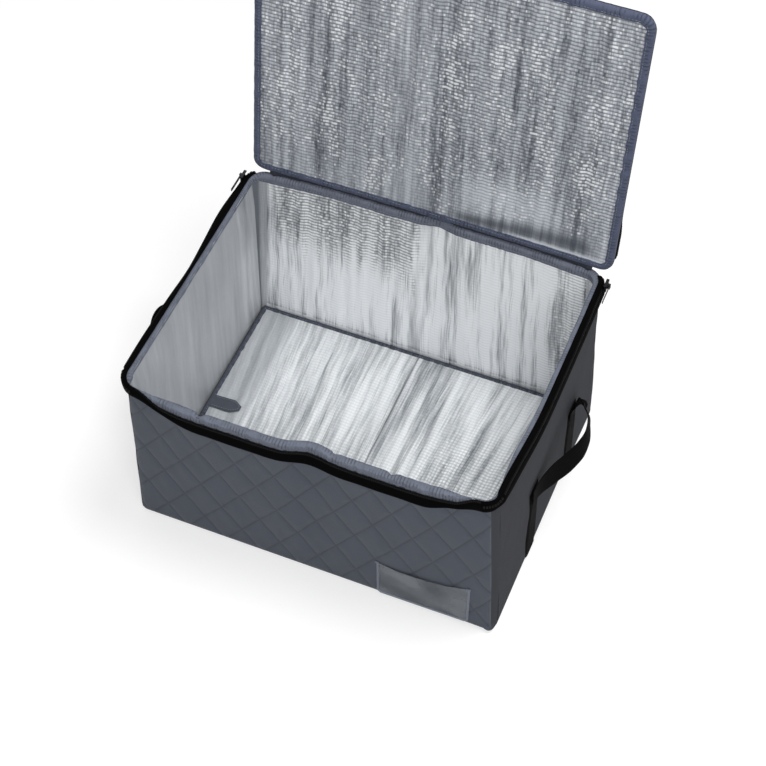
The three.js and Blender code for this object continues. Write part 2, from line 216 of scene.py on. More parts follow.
class Graph:
    """The nodes of a material or of the surround."""

    def __init__(self, graph: bpy.types.NodeTree) -> None:
        """Empties the graph."""
        self.graph = graph
        self.graph.nodes.clear()

    def node(self, kind: str, settings: dict | None = None, inputs: dict | None = None) -> bpy.types.Node:
        """Adds one node.

        Args:
            kind: The node's type.
            settings: Its properties, which are set first.
            inputs: Values or links of its sockets, by name or number.

        Returns:
            The new node.
        """
        made = self.graph.nodes.new(kind)
        for name, value in (settings or {}).items():
            setattr(made, name, value)
        for name, value in (inputs or {}).items():
            self.feed(made.inputs[name], value)
        return made

    def feed(self, socket: bpy.types.NodeSocket, value: object) -> None:
        """Links or sets one socket."""
        if isinstance(value, Signal):
            value = value.socket
        if isinstance(value, bpy.types.NodeSocket):
            self.graph.links.new(value, socket)
        else:
            socket.default_value = value


class Tree(Graph):
    """One material's nodes, with a Principled shader at their end."""

    def __init__(self, name: str, surface: dict[str, float | tuple]) -> None:
        """Makes the material.

        Args:
            name: The material's name.
            surface: What is the same all over, by the shader's socket names.
        """
        self.material = bpy.data.materials.new(name)
        self.material.use_nodes = True
        super().__init__(self.material.node_tree)
        self.shader = self.node("ShaderNodeBsdfPrincipled", inputs=surface)
        self.end = self.node("ShaderNodeOutputMaterial", inputs={"Surface": self.shader.outputs[0]})

    def surface(self, **links: object) -> None:
        """Feeds the shader's sockets, with spaces written as underscores."""
        for name, value in links.items():
            self.feed(self.shader.inputs[name.replace("_", " ")], value)

    def place(self) -> tuple[Signal, Signal]:
        """Returns the place on the cloth in metres, across and along."""
        spot = self.node("ShaderNodeUVMap", {"uv_map": UV_NAME})
        split = self.node("ShaderNodeSeparateXYZ", inputs={0: spot.outputs[0]})
        return Signal(self, split.outputs[0]), Signal(self, split.outputs[1])

    def mark(self, name: str) -> Signal:
        """Returns a value that the mesh carries at its points."""
        made = self.node("ShaderNodeAttribute", {"attribute_name": name})
        return Signal(self, made.outputs["Fac"])

    def noise(self, across: Signal, along: Signal, detail: float = 2.0, offset: float = 0.0) -> Signal:
        """Returns smooth noise, from 0 to 1, of two coordinates that are already scaled."""
        spot = self.node("ShaderNodeCombineXYZ", inputs={0: across, 1: along, 2: offset})
        made = self.node("ShaderNodeTexNoise", inputs={"Vector": spot.outputs[0], "Scale": 1.0, "Detail": detail})
        return Signal(self, made.outputs[0])

    def mix(self, share: Signal | float, low: object, high: object) -> bpy.types.NodeSocket:
        """Returns a colour between two colours."""
        made = self.node("ShaderNodeMix", {"data_type": "RGBA"}, {0: share, 6: low, 7: high})
        return made.outputs[2]

    def bump(self, height: Signal, distance: float, strength: float = 1.0) -> bpy.types.NodeSocket:
        """Returns a normal for a height from 0 to 1 over a distance in metres."""
        made = self.node("ShaderNodeBump", inputs={"Height": height, "Distance": distance, "Strength": strength})
        return made.outputs[0]


def tint(code: str, gain: float = 1.0) -> tuple[float, float, float, float]:
    """Returns a written screen colour as a shader's colour.

    Args:
        code: Six hexadecimal digits.
        gain: Factor on its brightness.
    """
    parts = [int(code[i:i + 2], 16) / 255 for i in (0, 2, 4)]
    straight = [p / 12.92 if p <= 0.04045 else ((p + 0.055) / 1.055) ** 2.4 for p in parts]
    return (*[min(1.0, p * gain) for p in straight], 1.0)


class Weave(Enum):
    """How a cloth's threads cross."""

    PLAIN = "plain"
    TWILL = "twill"
    WEBBING = "webbing"
    TAPE = "tape"


@dataclass(frozen=True)
class ClothFinish:
    """A woven cloth; where it has pleats, their folds carry painted shade."""

    name: str
    colour: str
    weave: Weave = Weave.PLAIN
    pitch: float = 0.0011
    relief: float = 0.00012
    roughness: float = 0.78
    sheen: float = 0.12
    mottle: float = 0.16
    patch: float = 0.035
    specular: float = 0.3
    shaded_pleat: float = 0.0

    def make(self) -> bpy.types.Material:
        """Returns the material."""
        tree = Tree(self.name, {
            "Sheen Weight": self.sheen, "Sheen Roughness": 0.5, "Specular IOR Level": self.specular,
        })
        across, along = tree.place()
        if self.weave is Weave.TWILL:
            threads = (across + along).wave(self.pitch) * 0.5 + 0.5
        elif self.weave is Weave.WEBBING:
            rows = (along + across.wave(self.pitch * 2) * (self.pitch * 0.3)).wave(self.pitch)
            threads = rows * 0.35 + across.wave(self.pitch * 2.6) * 0.25 + 0.5
        elif self.weave is Weave.TAPE:
            threads = (along - across.wave(self.pitch) * (self.pitch * 0.4)).wave(self.pitch) * 0.5 + 0.5
        else:
            threads = across.wave(self.pitch) * along.wave(self.pitch) * 0.5 + 0.5
        fine = tree.noise(across * (0.7 / self.pitch), along * (0.7 / self.pitch), 3.0)
        worn = tree.noise(across * (1 / self.patch), along * (1 / self.patch), 4.0, 3.1)
        height = threads * 0.75 + fine * 0.4
        shade = (threads * 0.35 + fine * 0.3 + worn * 0.6 - 0.12).step(0.1, 0.95)
        dark, light = tint(self.colour, 1 - self.mottle), tint(self.colour, 1 + self.mottle)
        cloth = tree.mix(shade, dark, light)
        if self.shaded_pleat:
            drift = (tree.noise(across * 70, along * 40, 2.0, 6.3) - 0.5) * self.shaded_pleat
            fold = ((across + drift).wave(self.shaded_pleat) * 0.5 + 0.5).step(0.5, 0.95)
            fold = fold * tree.noise(across * 50, along * 110, 1.0, 8.8).step(0.38, 0.62)
            # Painted shade in the pleats' folds, which the bump also sinks.
            cloth = tree.mix(fold * 0.65, cloth, tint(self.colour, 0.42))
            height = height - fold * 3.0
        tree.surface(
            Base_Color=cloth,
            Roughness=worn * 0.12 + (self.roughness - 0.06),
            Normal=tree.bump(height, self.relief),
        )
        return tree.material


@dataclass(frozen=True)
class Diamonds:
    """The quilting's lattice of sewn lines."""

    width: float = 0.0538
    height: float = 0.081
    start_x: float = -0.2053
    start_z: float = 0.041

    def apart(self) -> float:
        """Returns the distance between neighbouring lines."""
        return 1 / math.hypot(1 / self.width, 1 / self.height)

    def near(self, x: np.ndarray, z: np.ndarray) -> np.ndarray:
        """Returns the distance to the nearest line."""
        p, q = (x - self.start_x) / self.width, (z - self.start_z) / self.height
        gaps = [np.abs(k - np.round(k)) * self.apart() for k in (p + q, p - q)]
        return np.minimum(*gaps)


@dataclass(frozen=True)
class QuiltFinish:
    """The front's quilted cloth, with a sewn line in each groove and painted shade beside it."""

    name: str
    colour: str
    diamonds: Diamonds = Diamonds()
    pitch: float = 0.0011
    thread_pitch: float = 0.0034
    line: float = 0.0011

    def make(self) -> bpy.types.Material:
        """Returns the material."""
        tree = Tree(self.name, {"Sheen Weight": 0.08, "Sheen Roughness": 0.5, "Specular IOR Level": 0.25})
        across, along = tree.place()
        p = (across - self.diamonds.start_x) / self.diamonds.width
        q = (along - self.diamonds.start_z) / self.diamonds.height
        near = (p + q).nearest().least((p - q).nearest()) * self.diamonds.apart()
        threads = across.wave(self.pitch) * along.wave(self.pitch) * 0.5 + 0.5
        fine = tree.noise(across * (0.8 / self.pitch), along * (0.8 / self.pitch), 3.0)
        worn = tree.noise(across * 26, along * 26, 4.0, 3.1)
        holes = (along.wave(self.thread_pitch) * 0.5 + 0.5).step(0.15, 0.6)
        line = 1 - near.step(self.line * 0.45, self.line)
        # Painted shade: the colour darkens on each side of the sewn line, in the groove.
        groove_shade = 1 - near.step(self.line * 0.8, self.line * 3.4)
        shade = (threads * 0.3 + fine * 0.35 + worn * 0.6 - 0.12).step(0.1, 0.95)
        cloth = tree.mix(shade, tint(self.colour, 0.88), tint(self.colour, 1.13))
        soft = tree.mix(groove_shade * 0.25, cloth, tint(self.colour, 0.60))
        sewn = tree.mix(holes, tint(self.colour, 0.50), tint(self.colour, 0.80))
        tree.surface(
            Base_Color=tree.mix(line * 0.75, soft, sewn),
            Roughness=worn * 0.12 + 0.7,
            Normal=tree.bump(threads * 0.6 + fine * 0.4 - line * (1.6 - holes), 0.00014),
        )
        return tree.material


@dataclass(frozen=True)
class FoilFinish:
    """Embossed silver film whose colour is mostly painted light: painted streaking of light and shade along its
    length, fine rib lines across it with painted shade between them, and painted glints in dashes.
    """

    name: str
    # dark and light: the shaded and the lit ends of the painted light on one silver film.
    dark: str = "5C6268"
    light: str = "FFFFFF"
    streak: float = 0.020
    cell: float = 0.0050
    grid: float = 0.0
    dash: float = 0.0045
    glow: float = 0.9
    metallic: float = 0.10
    roughness: float = 0.36

    def make(self) -> bpy.types.Material:
        """Returns the material."""
        tree = Tree(self.name, {"Specular IOR Level": 0.5, "Metallic": self.metallic})
        across, along = tree.place()
        across = across + (tree.noise(across * 9, along * 11, 1.0, 5.5) - 0.5) * 0.008
        # The mesh's marks carry painted light: how light each place is painted, how far rib contrast and glints show,
        # and how far painted shade streaks show.
        tone, ribs, strong = tree.mark("tone"), tree.mark("ribs"), tree.mark("streaks")
        # Painted streaks of light and shade along the film, standing in for light caught by its wrinkles; they also
        # feed the bump.
        broad = tree.noise(across * (1 / self.streak), along * 3.2, 1.0)
        narrow = tree.noise(across * (3.2 / self.streak), along * 7.5, 2.0, 1.7)
        lines = tree.noise(across * (14 / self.streak), along * 22, 2.0, 4.2)
        streaks = ((broad - 0.5) * 2.0 + (narrow - 0.5) * 1.4 + (lines - 0.5) * 1.1) * strong
        beat = (tree.noise(across * 60, along * 9, 1.0, 2.2) - 0.5) * 0.0012
        row = (along + beat) / self.cell
        dots = (across / (self.cell * 1.1)).wave(2.0).size()
        ridge = row.wave(2.0).size() * (dots * self.grid + (1 - self.grid))
        glint = tree.noise(across * (1 / self.dash), row.maths("FLOOR", row) * 5.37, 1.0, 6.1)
        cluster = tree.noise(across * 32, along * 11, 2.0, 9.1)
        # shimmer: painted sparkle along the ribs, strongest where the rib mark is high.
        shimmer = ((glint - 0.5) * 1.2 + (cluster - 0.5) * 0.5) * ribs
        light = (streaks + tone + shimmer).step(-0.02, 1.02)
        body = tree.mix(light, tint(self.dark), tint(self.light))
        # Painted shade in the ribs' grooves: the colour is darkened between the ridges.
        groove = (1 - ridge.step(0.15, 0.95)) * (ribs * 0.85 + 0.03)
        groove_shaded = tree.mix(groove, body, tint(self.dark, 0.55))
        # Painted glints: white dashes on the ridges, mixed into the colour.
        painted_glint = (glint + (cluster - 0.5) * 0.8 + ribs * 0.15).step(0.68, 0.82)
        painted_glint = painted_glint * ridge.step(0.35, 0.95) * ribs.step(0.12, 0.45) * self.glow
        height = streaks * 0.5 + ridge * (ribs * 0.35 + 0.08) + (glint - 0.5) * ribs * 0.6
        tree.surface(
            Base_Color=tree.mix(painted_glint, groove_shaded, tint("FFFFFF")),
            Roughness=self.roughness + lines * 0.16,
            Normal=tree.bump(height, 0.0008),
        )
        return tree.material


@dataclass(frozen=True)
class FilmFinish:
    """Clear soft plastic film, with painted reflections in its colour."""

    name: str

    def make(self) -> bpy.types.Material:
        """Returns the material."""
        tree = Tree(self.name, {
            "Specular IOR Level": 0.4, "Coat Weight": 0.06, "Coat Roughness": 0.25, "IOR": 1.46,
        })
        across, along = tree.place()
        haze_and_reflection = tree.noise(across * 16, along * 24, 1.0)
        tree.surface(
            # Painted reflections: lighter patches in the colour; the same noise gives real haze in roughness, alpha
            # and bump.
            Base_Color=tree.mix(haze_and_reflection.step(0.3, 0.7), tint("60656C"), tint("80858C")),
            Roughness=haze_and_reflection * 0.12 + 0.40,
            Alpha=haze_and_reflection.step(0.3, 0.7) * 0.20 + 0.42,
            Normal=tree.bump(haze_and_reflection, 0.0004),
        )
        return tree.material


@dataclass(frozen=True)
class MetalFinish:
    """Black enamelled metal, rubbed a little at random."""

    name: str
    colour: str = "151618"

    def make(self) -> bpy.types.Material:
        """Returns the material."""
        tree = Tree(self.name, {"Specular IOR Level": 0.55, "Coat Roughness": 0.2})
        spot = tree.node("ShaderNodeTexCoord").outputs["Object"]
        broad = tree.node("ShaderNodeTexNoise", inputs={"Vector": spot, "Scale": 320.0, "Detail": 4.0})
        grain = Signal(tree, broad.outputs[0])
        tree.surface(
            Base_Color=tree.mix(grain.step(0.56, 0.72), tint(self.colour), tint("3B3D40")),
            Metallic=grain.step(0.5, 0.7) * 0.5 + 0.35,
            Roughness=grain * 0.25 + 0.26,
            Normal=tree.bump(grain, 0.00005),
        )
        return tree.material


class Wardrobe:
    """The finishes, each made once."""

    def __init__(self) -> None:
        """Makes every material."""
        twill = (Weave.TWILL, 0.0016, 0.00016, 0.8, 0.05)
        thread = (Weave.TWILL, 0.0008, 0.00006)
        finishes = [
            QuiltFinish("quilted_cloth", "464B55"),
            ClothFinish(
                "plain_cloth", "434448", relief=0.0001, roughness=0.9, sheen=0.0, mottle=0.1, patch=0.06,
                specular=0.06,
            ),
            ClothFinish("rim_binding", "666B78", *twill, 0.26, 0.010, 0.15, 0.0042),
            ClothFinish("insert_binding", "474C57", *twill, 0.2, 0.012, 0.15, 0.006),
            ClothFinish("tab_cloth", "4B5058", *twill, 0.16, 0.012, 0.15),
            ClothFinish("lid_binding", "50566A", *twill, 0.2, 0.012, 0.15, 0.0055),
            ClothFinish("thread", "757B8A", *thread, 0.6, 0.1, 0.1),
            ClothFinish("black_thread", "101112", *thread, 0.8, 0.0, 0.1, specular=0.03),
            ClothFinish("zip_tape", "060606", Weave.TAPE, 0.0016, 0.00014, 0.9, 0.0, 0.3, 0.02, 0.02),
            ClothFinish("webbing", "070707", Weave.WEBBING, 0.0021, 0.00026, 0.85, 0.0, 0.35, 0.02, 0.04),
            ClothFinish("teeth", "080809", Weave.TWILL, 0.0012, 0.00003, 0.6, 0.0, 0.2, 0.02, 0.08),
            ClothFinish("welt", "7D828E", Weave.TWILL, 0.0012, 0.0001, 0.7, 0.05, 0.12, 0.012, 0.2),
            # Painted shade: the hinge seam's cloth is made dark for the shadow between the rim and the lid.
            ClothFinish("seam_cloth", "2C2F38", *twill, 0.2, 0.012, 0.15),
            # The foils' dark and light colours are the shaded and lit ends of their painted light.
            FoilFinish("foil_wall", dark="62676E", light="FBFDFF", cell=0.0056),
            FoilFinish("foil_lid", dark="40454F", light="CDD2D9", streak=0.013, cell=0.0052, dash=0.0040, glow=0.55),
            FoilFinish("foil_floor", dark="565E65", light="EEF1F3", streak=0.022, cell=0.0050, grid=0.6, glow=0.7),
            FilmFinish("clear_film"),
            MetalFinish("black_metal"),
        ]
        self.made = {finish.name: finish.make() for finish in finishes}

    def __getitem__(self, name: str) -> bpy.types.Material:
        """Returns a material by its name."""
        return self.made[name]


# Meshes


class Pattern:
    """Gathers the surfaces of one piece and sews them into a mesh."""

    def __init__(self) -> None:
        """Starts with nothing."""
        self.points: list[np.ndarray] = []
        self.places: list[np.ndarray] = []
        self.marks: dict[str, list[np.ndarray]] = {}
        self.faces: list[tuple[int, ...]] = []
        self.slots: list[int] = []
        self.count = 0

    def _add(self, points: np.ndarray, places: np.ndarray, marks: dict[str, np.ndarray] | None) -> int:
        """Adds points and returns the number of the first."""
        first = self.count
        self.points.append(points.reshape(-1, 3))
        self.places.append(places.reshape(-1, 2))
        total = len(self.points[-1])
        for name, values in (marks or {}).items():
            self.marks.setdefault(name, [np.zeros(first)]).append(np.asarray(values).reshape(-1))
        for name, values in self.marks.items():
            if name not in (marks or {}):
                values.append(np.zeros(total))
        self.count += total
        return first

    def _quads(self, quads: np.ndarray, slot: int | np.ndarray) -> None:
        """Adds four-sided faces."""
        self.faces.extend(map(tuple, quads.reshape(-1, 4).tolist()))
        many = quads.size // 4
        self.slots.extend(np.broadcast_to(np.asarray(slot).reshape(-1), (many,)).tolist())

    def shell(
        self, face: np.ndarray, back: np.ndarray, places: np.ndarray,
        slot: int | np.ndarray = 0, marks: dict[str, np.ndarray] | None = None,
    ) -> "Pattern":
        """Adds a closed sheet between two grids.

        Args:
            face: Points of the side that shows, rows by columns by 3.
            back: Points of the other side.
            places: Cloth coordinates in metres, rows by columns by 2.
            slot: Finish number, or one for each face of the grid.
            marks: Values at the grid's points, by name.

        Returns:
            This pattern.
        """
        rows, columns = face.shape[:2]
        both = {name: np.concatenate([np.ravel(v), np.ravel(v)]) for name, v in (marks or {}).items()}
        first = self._add(np.stack([face, back]), np.stack([places, places]), both)
        index = first + np.arange(rows * columns).reshape(rows, columns)
        other = index + rows * columns
        front = np.stack([index[:-1, :-1], index[:-1, 1:], index[1:, 1:], index[1:, :-1]], -1)
        rear = np.stack([other[:-1, :-1], other[1:, :-1], other[1:, 1:], other[:-1, 1:]], -1)
        self._quads(front, slot)
        self._quads(rear, slot)
        edge = np.concatenate([index[0, :-1], index[:-1, -1], index[-1, :0:-1], index[:0:-1, 0]])
        rim = edge + rows * columns
        side = np.stack([np.roll(edge, -1), edge, rim, np.roll(rim, -1)], -1)
        self._quads(side, int(np.ravel(slot)[0]))
        return self

    def loft(
        self, rings: np.ndarray, places: np.ndarray, slot: int = 0, closed: bool = False,
        marks: dict[str, np.ndarray] | None = None,
    ) -> "Pattern":
        """Adds a closed section swept along a line.

        Args:
            rings: Points of each section, stations by points by 3.
            places: Cloth coordinates in metres, stations by points by 2.
            slot: Finish number.
            closed: True where the last station joins the first.
            marks: Values at the points, by name.

        Returns:
            This pattern.
        """
        stations, around = rings.shape[:2]
        first = self._add(rings, places, marks)
        index = first + np.arange(stations * around).reshape(stations, around)
        beside = np.roll(index, -1, 1)
        if closed:
            after, after_beside = np.roll(index, -1, 0), np.roll(beside, -1, 0)
            quads = np.stack([index, beside, after_beside, after], -1)
        else:
            quads = np.stack([index[:-1], beside[:-1], beside[1:], index[1:]], -1)
            self.faces.append(tuple(index[0, ::-1].tolist()))
            self.faces.append(tuple(index[-1].tolist()))
            self.slots.extend([slot, slot])
        self._quads(quads, slot)
        return self

    def beads(
        self, line: np.ndarray, normal: np.ndarray, slot: int, pitch: float = 0.0042,
        length: float = 0.0030, width: float = 0.0008, lift: float = 0.0004,
    ) -> "Pattern":
        """Adds a row of stitches along a line.

        Args:
            line: Points of the row, in order.
            normal: Direction out of the cloth at each point.
            slot: Finish number.
            pitch: Distance from stitch to stitch.
            length: Length of a stitch.
            width: Width of a stitch.
            lift: How far its back stands out of the cloth.

        Returns:
            This pattern.
        """
        run = distances(line)
        for spot in np.arange(pitch / 2, run[-1] - length / 2, pitch):
            ends = [np.array(read_off(s, run, line)) for s in (spot - length / 2, spot + length / 2)]
            out = np.array(read_off(spot, run, normal))
            out = out / np.linalg.norm(out)
            ahead = ends[1] - ends[0]
            side = np.cross(ahead, out)
            side = side / np.linalg.norm(side) * width / 2
            rings = []
            for share, thick in ((0.0, 0.35), (0.25, 0.95), (0.75, 0.95), (1.0, 0.35)):
                middle = ends[0] + ahead * share
                rise = out * lift * thick
                rings.append([middle - side * thick - out * lift, middle + side * thick - out * lift,
                              middle + side * thick * 0.7 + rise, middle - side * thick * 0.7 + rise])
            places = np.zeros((4, 4, 2))
            places[..., 0] = spot + np.array([0, 0.001, 0.002, 0.003])[:, None]
            self.loft(np.array(rings), places, slot)
        return self

    def sew(self, name: str, finishes: list[bpy.types.Material], sharp: float = 40.0) -> bpy.types.Object:
        """Makes the object.

        Args:
            name: The piece's name.
            finishes: Materials, in the order of the finish numbers.
            sharp: Angle in degrees from which an edge shows as an edge.

        Returns:
            The new object, linked to the scene.
        """
        mesh = bpy.data.meshes.new(name)
        mesh.from_pydata(np.concatenate(self.points).tolist(), [], self.faces)
        for finish in finishes:
            mesh.materials.append(finish)
        mesh.polygons.foreach_set("material_index", self.slots)
        corners = np.zeros(len(mesh.loops), np.int32)
        mesh.loops.foreach_get("vertex_index", corners)
        layer = mesh.uv_layers.new(name=UV_NAME)
        layer.data.foreach_set("uv", np.concatenate(self.places)[corners].astype(np.float32).ravel())
        for key, values in self.marks.items():
            store = mesh.attributes.new(key, "FLOAT", "POINT")
            store.data.foreach_set("value", np.concatenate(values).astype(np.float32))
        mesh.polygons.foreach_set("use_smooth", np.ones(len(mesh.polygons), bool))
        mesh.set_sharp_from_angle(angle=math.radians(sharp))
        mesh.validate()
        mesh.update()
        piece = bpy.data.objects.new(name, mesh)
        bpy.context.scene.collection.objects.link(piece)
        LOG.info("%s: %d points, %d faces", name, len(mesh.vertices), len(mesh.polygons))
        return piece


@dataclass(frozen=True)
class Carcass:
    """The box's walls as they stand: a spread foot, soft corners and a bowed rim."""

    half_width: float = 0.255
    half_depth: float = 0.200
    height: float = 0.284
    wall: float = 0.008
    foot_spread: float = 0.0042
    rim_draw: float = 0.0030
    corner_foot: float = 0.014
    corner_rim: float = 0.022
    bow_left: float = 0.0142
    bow_right: float = 0.0080
    bow_back: float = 0.0085
    bow_end: float = 0.0018
    bow_end_left: float = 0.0004
    draw_right: float = 0.0032
    draw_corner: float = 0.0045
    corner_draw: float = 0.0062
    end_draw: float = 0.0020
    foot_right: float = 0.0030
    foot_back: float = 0.0050
    notches: tuple[tuple[float, float, float], ...] = (
        (-0.1387, 0.0052, 0.0050), (0.0392, 0.0020, 0.0040), (0.1144, 0.0030, 0.0045),
    )
    bow_power: float = 1.6

    def front_bow(self, x: np.ndarray) -> np.ndarray:
        """Returns how far the front rim stands out, with its crease drawn in."""
        reach = lerp(self.bow_left, self.bow_right, smooth(x, -0.03, 0.03))
        crease = 0.70 * bell(x, 0.009, 0.026)
        return reach * (1 - crease) * (1 - smooth(np.abs(x), 0.150, 0.242) * lerp(0.75, 1.35, x > 0))

    def back_bow(self, x: np.ndarray) -> np.ndarray:
        """Returns how far the back rim stands out, furthest at its crease."""
        crease = 0.0066 * bell(x, 0.018, 0.018)
        return self.bow_back * (1 - smooth(np.abs(x), 0.130, 0.242) * 0.8) + crease

    def plan(self, z: np.ndarray) -> tuple[np.ndarray, np.ndarray, np.ndarray, np.ndarray]:
        """Returns the share of the way up, the corners' radius and their middles' x and y, at heights."""
        level = np.clip(z / self.height, 0, 1)
        radius = lerp(self.corner_foot, self.corner_rim, level)
        wide = self.half_width + lerp(self.foot_spread, -self.rim_draw, level)
        return level, radius, wide - radius, self.half_depth - radius

    def place(self, t: np.ndarray, z: np.ndarray, inset: np.ndarray) -> np.ndarray:
        """Returns points of the walls.

        Args:
            t: Station round the box, from 0 to 8: each whole number starts a side or a corner.
            z: Height over the ground.
            inset: Distance in from the walls' outer face.

        Returns:
            Points, in the arrays' common shape by 3.
        """
        t, z, inset = np.broadcast_arrays(np.mod(t, 8.0), z, inset)
        level, radius, sx, sy = self.plan(z)
        r = radius - inset
        leg = np.floor(t).astype(int)
        share = t - leg
        turn = (leg // 2 + share) * (math.pi / 2)
        side_x = np.choose(leg, [sx, sx, 0, -sx, -sx, -sx, 0, sx])
        side_y = np.choose(leg, [0, sy, sy, sy, 0, -sy, -sy, -sy])
        arc = leg % 2 == 1
        x = side_x + np.where(arc, r * np.cos(turn), np.choose(leg, [r, 0, 0, 0, -r, 0, 0, 0]))
        y = side_y + np.where(arc, r * np.sin(turn), np.choose(leg, [0, 0, r, 0, 0, 0, -r, 0]))
        x = np.where(leg == 2, lerp(sx, -sx, share), np.where(leg == 6, lerp(-sx, sx, share), x))
        y = np.where(leg == 0, lerp(-sy, sy, share), np.where(leg == 4, lerp(sy, -sy, share), y))
        rise = level ** self.bow_power
        toward = np.clip((np.abs(y) - sy) / np.maximum(r, 1e-4), 0, 1)
        bow = np.where(y < 0, -self.front_bow(x), self.back_bow(x)) * toward * rise
        outer = np.clip((np.abs(x) - sx) / np.maximum(r, 1e-4), 0, 1)
        belly = np.where(x > 0, self.bow_end, self.bow_end_left) * (1 - (y / 0.21) ** 2)
        drawn = (x > 0) * (self.draw_right * smooth(-y, 0.03, 0.16) + self.draw_corner * smooth(-y, 0.05, 0.21))
        foot = (1 - level) * outer * smooth(y, 0.04, 0.19)
        x = x + (belly - drawn) * outer * rise + self.foot_right * foot * (x > 0)
        y = y + bow + self.foot_back * (1 - level) * toward * (y > 0) * smooth(x, 0.12, 0.24)
        return np.stack([x, y, z], -1)

    def station(self, side: str, place: np.ndarray, z: np.ndarray) -> np.ndarray:
        """Returns the stations of places on a side's flat part.

        Args:
            side: right, left or front.
            place: y on an end, x on the front.
            z: Heights.

        Returns:
            Stations, in the arrays' common shape.
        """
        half_wide, half_deep = self.plan(z)[2:]
        if side == "front":
            return 6.5 + 0.5 * place / half_wide
        share = 0.5 + 0.5 * place / half_deep
        return share if side == "right" else 5 - share

    def drawn(self, t: np.ndarray) -> np.ndarray:
        """Returns how far the rim's inner side is drawn outwards: front corners, left end and notches."""
        t = np.mod(t, 8.0)
        onward = np.where(t < 2, t + 8, t)
        right = window(onward, 6.87, 6.97, 7.98, 8.20)
        end = window(t, 3.2, 4.0, 5.0, 5.4)
        left = window(t, 5.25, 5.60, 6.02, 6.14)
        x = (t - 6.5) / 0.5 * (self.half_width - self.rim_draw - self.corner_rim)
        pull = sum(deep * bell(x, middle, wide) for middle, deep, wide in self.notches)
        return self.corner_draw * (right + 0.9 * left) + self.end_draw * end + pull * ((t > 6.0) & (t < 7.0))

    def run(self, t: np.ndarray) -> np.ndarray:
        """Returns the distance round the box at stations, for the cloth's coordinates."""
        fine = np.linspace(0, 8, 1601)
        line = self.place(fine, np.full_like(fine, self.height / 2), np.zeros_like(fine))
        total = distances(line)
        return np.interp(np.mod(t, 8.0), fine, total) + np.floor(t / 8.0) * total[-1]


@dataclass(frozen=True)
class Length:
    """One length of a wall's layer between two stations, and what carries it."""

    name: str
    start: float
    end: float
    columns: int
    body: str
    other: str = ""
    turn_from: tuple[float, float] = (0.0, 0.0)
    turn_to: tuple[float, float] = (0.0, 0.0)

    def stations(self) -> np.ndarray:
        """Returns the stations of its columns."""
        return np.linspace(self.start, self.end, self.columns)

    def inner(self, t: np.ndarray, margin: float) -> np.ndarray:
        """Returns 1 inside the length and 0 at its two ends, with a turn over margin."""
        return window(t, self.start, self.start + margin, self.end - margin, self.end)

    def hang(self, piece: bpy.types.Object, inset: float) -> bpy.types.Object:
        """Makes a piece follow its body; a piece between two bodies only has its place baked in.

        Args:
            piece: The finished piece.
            inset: Distance in from the walls' outer face; it shifts the turn's ends, which are then not used.

        Returns:
            The piece.
        """
        if not self.other:
            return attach(piece, self.body)
        (ax, ay), (bx, by) = self.turn_from, self.turn_to
        if abs(ax) > 0.1:
            ax -= math.copysign(inset, ax)
            by -= math.copysign(inset, by)
        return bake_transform(piece)


FOLD = 0.012
LENGTHS = (
    Length("right", 0.0, 1.0, 60, "right_wall"),
    Length("back_right_corner", 1.0, 2.0, 13, "right_wall", "back_right", (0.255, 0.1836), (0.2467, 0.200)),
    Length("back", 2.0, 3.0, 120, "back_right", "back_left", (FOLD, 0.2), (-FOLD, 0.2)),
    Length("back_left_corner", 3.0, 3.5, 7, "back_left"),
    Length("left_back_corner", 3.5, 4.0, 7, "left_wall"),
    Length("left", 4.0, 5.0, 60, "left_wall"),
    Length(
        "front_left_corner", 5.0, 6.0, 13, "left_wall", "front_left", (-0.255, -0.1836), (-0.2467, -0.200),
    ),
    Length("front", 6.0, 7.0, 240, "front_right", "front_left", (FOLD, -0.2), (-FOLD, -0.2)),
    Length(
        "front_right_corner", 7.0, 8.0, 13, "right_wall", "front_right", (0.255, -0.1836), (0.2467, -0.200),
    ),
)
NODE_OF = {
    "right": ["right"], "left": ["left"], "front": ["front_right", "front_left"],
    "back": ["back_right", "back_left"],
}


